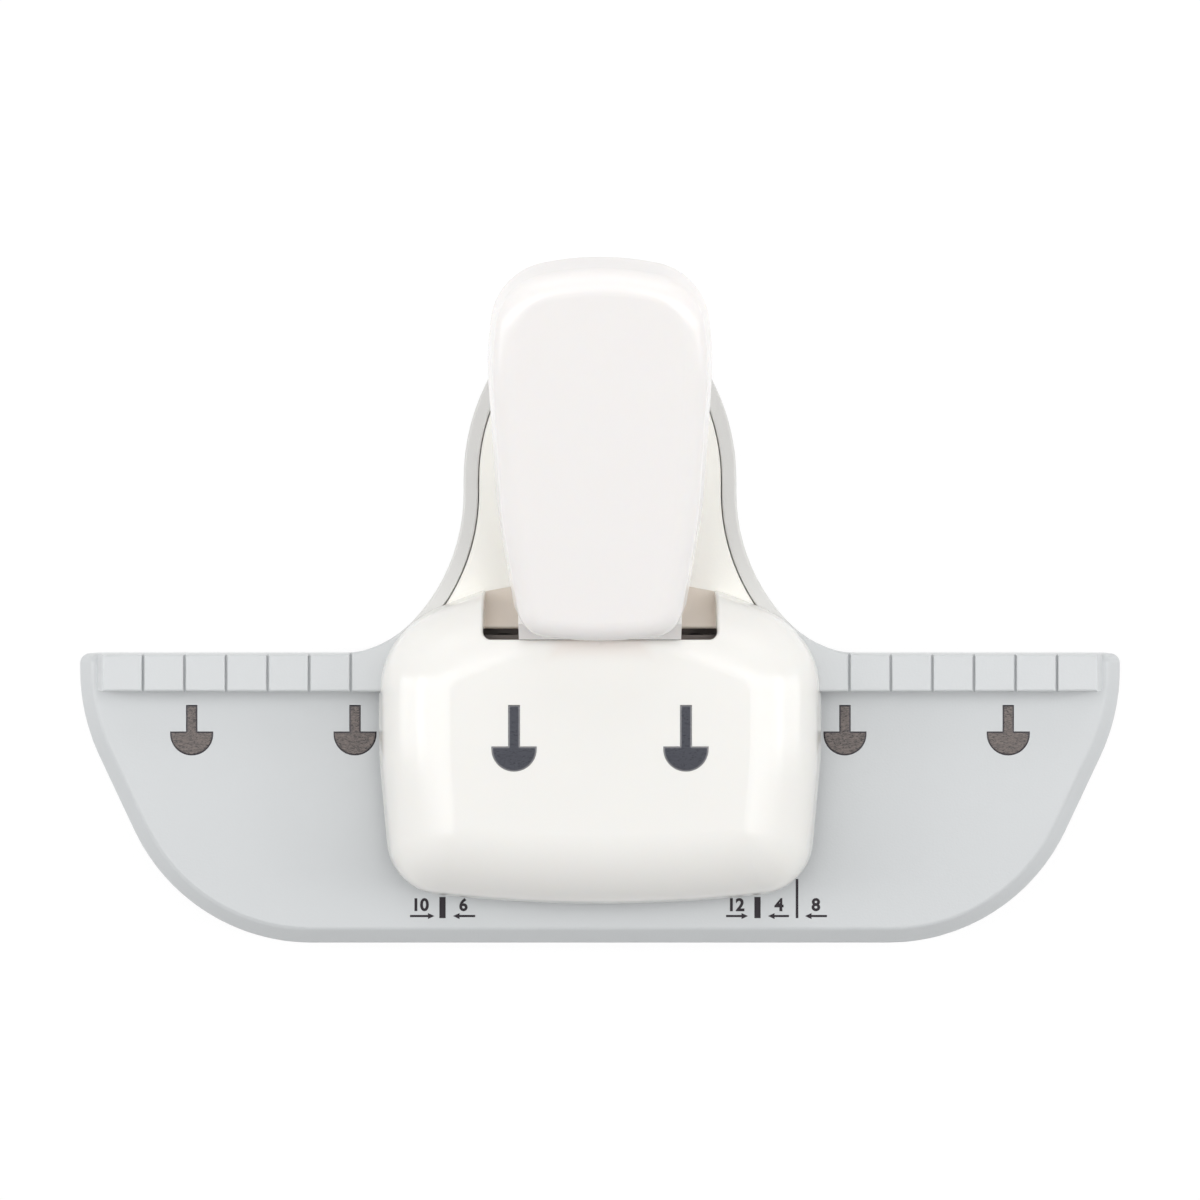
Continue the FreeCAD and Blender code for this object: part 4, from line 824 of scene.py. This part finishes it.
# The surround is white to the camera, in reflections and through glass. As a light it is weaker,
# and its level goes evenly from the front one to the rear one.
FRONT_LEVEL, REAR_LEVEL = 0.18, 0.46
world = bpy.data.worlds.new("studio")
bpy.context.scene.world = world
world.use_nodes = True
tree = world.node_tree
background = preset(tree.nodes["Background"], Color=(1, 1, 1, 1))
heading = node_in(tree, "SeparateXYZ")
tree.links.new(node_in(tree, "TexCoord").outputs["Generated"], heading.inputs[0])
level = preset(node_in(tree, "MapRange"), From_Min=-1.0, To_Min=FRONT_LEVEL, To_Max=REAR_LEVEL)
tree.links.new(heading.outputs["Y"], level.inputs["Value"])
strength = preset(node_in(tree, "MapRange"), To_Max=1.0)
tree.links.new(background_seen(tree), strength.inputs["Value"])
tree.links.new(level.outputs[0], strength.inputs["To Min"])
tree.links.new(strength.outputs[0], background.inputs["Strength"])


def softbox(name, place, target, width, height, watts):
    """A rectangular soft light at a place, turned to face a target.

    It tips by the angle whose cosine is the fall of its aim, and then turns by the aim's heading
    less a quarter turn.
    """
    lamp = bpy.data.lights.new(name, "AREA")
    lamp.shape = "RECTANGLE"
    lamp.size = width
    lamp.size_y = height
    lamp.energy = watts
    made = bpy.data.objects.new(name, lamp)
    bpy.context.scene.collection.objects.link(made)
    aim = np.array(target, float) - np.array(place, float)
    aim /= np.linalg.norm(aim)
    made.location = place
    made.rotation_euler = (math.acos(-aim[2]), 0, math.atan2(aim[1], aim[0]) - math.pi / 2)
    made.visible_camera = False


softbox("top_light", (0.0, 0.25, 0.95), (0, 0, 0), width=0.5, height=0.5, watts=0.6)
softbox("rear_light", (0.0, 0.85, 0.5), (0, 0, 0.03), width=1.2, height=0.5, watts=1.1)
for side in (-1, 1):
    softbox("side_light", (side * 0.52, 0.05, 0.84), (0, 0, 0.02), width=0.42, height=0.9, watts=3.0)
    softbox("low_light", (side * 0.85, 0.05, 0.25), (0, 0, 0.02), width=0.3, height=0.9, watts=2.0)

VIEW_DISTANCE = 0.400
VIEW_OFFSET = 0.0024
VIEW_WIDTH = 0.1837
camera_data = bpy.data.cameras.new("photo_view")
camera = bpy.data.objects.new("photo_view", camera_data)
bpy.context.scene.collection.objects.link(camera)
camera.location = (0, VIEW_OFFSET, TABLE_TOP * MM + VIEW_DISTANCE)
camera_data.sensor_width = 36
camera_data.lens = camera_data.sensor_width * VIEW_DISTANCE / VIEW_WIDTH
camera_data.clip_start = 0.01
bpy.context.scene.camera = camera
bpy.context.scene.view_settings.view_transform = "Standard"
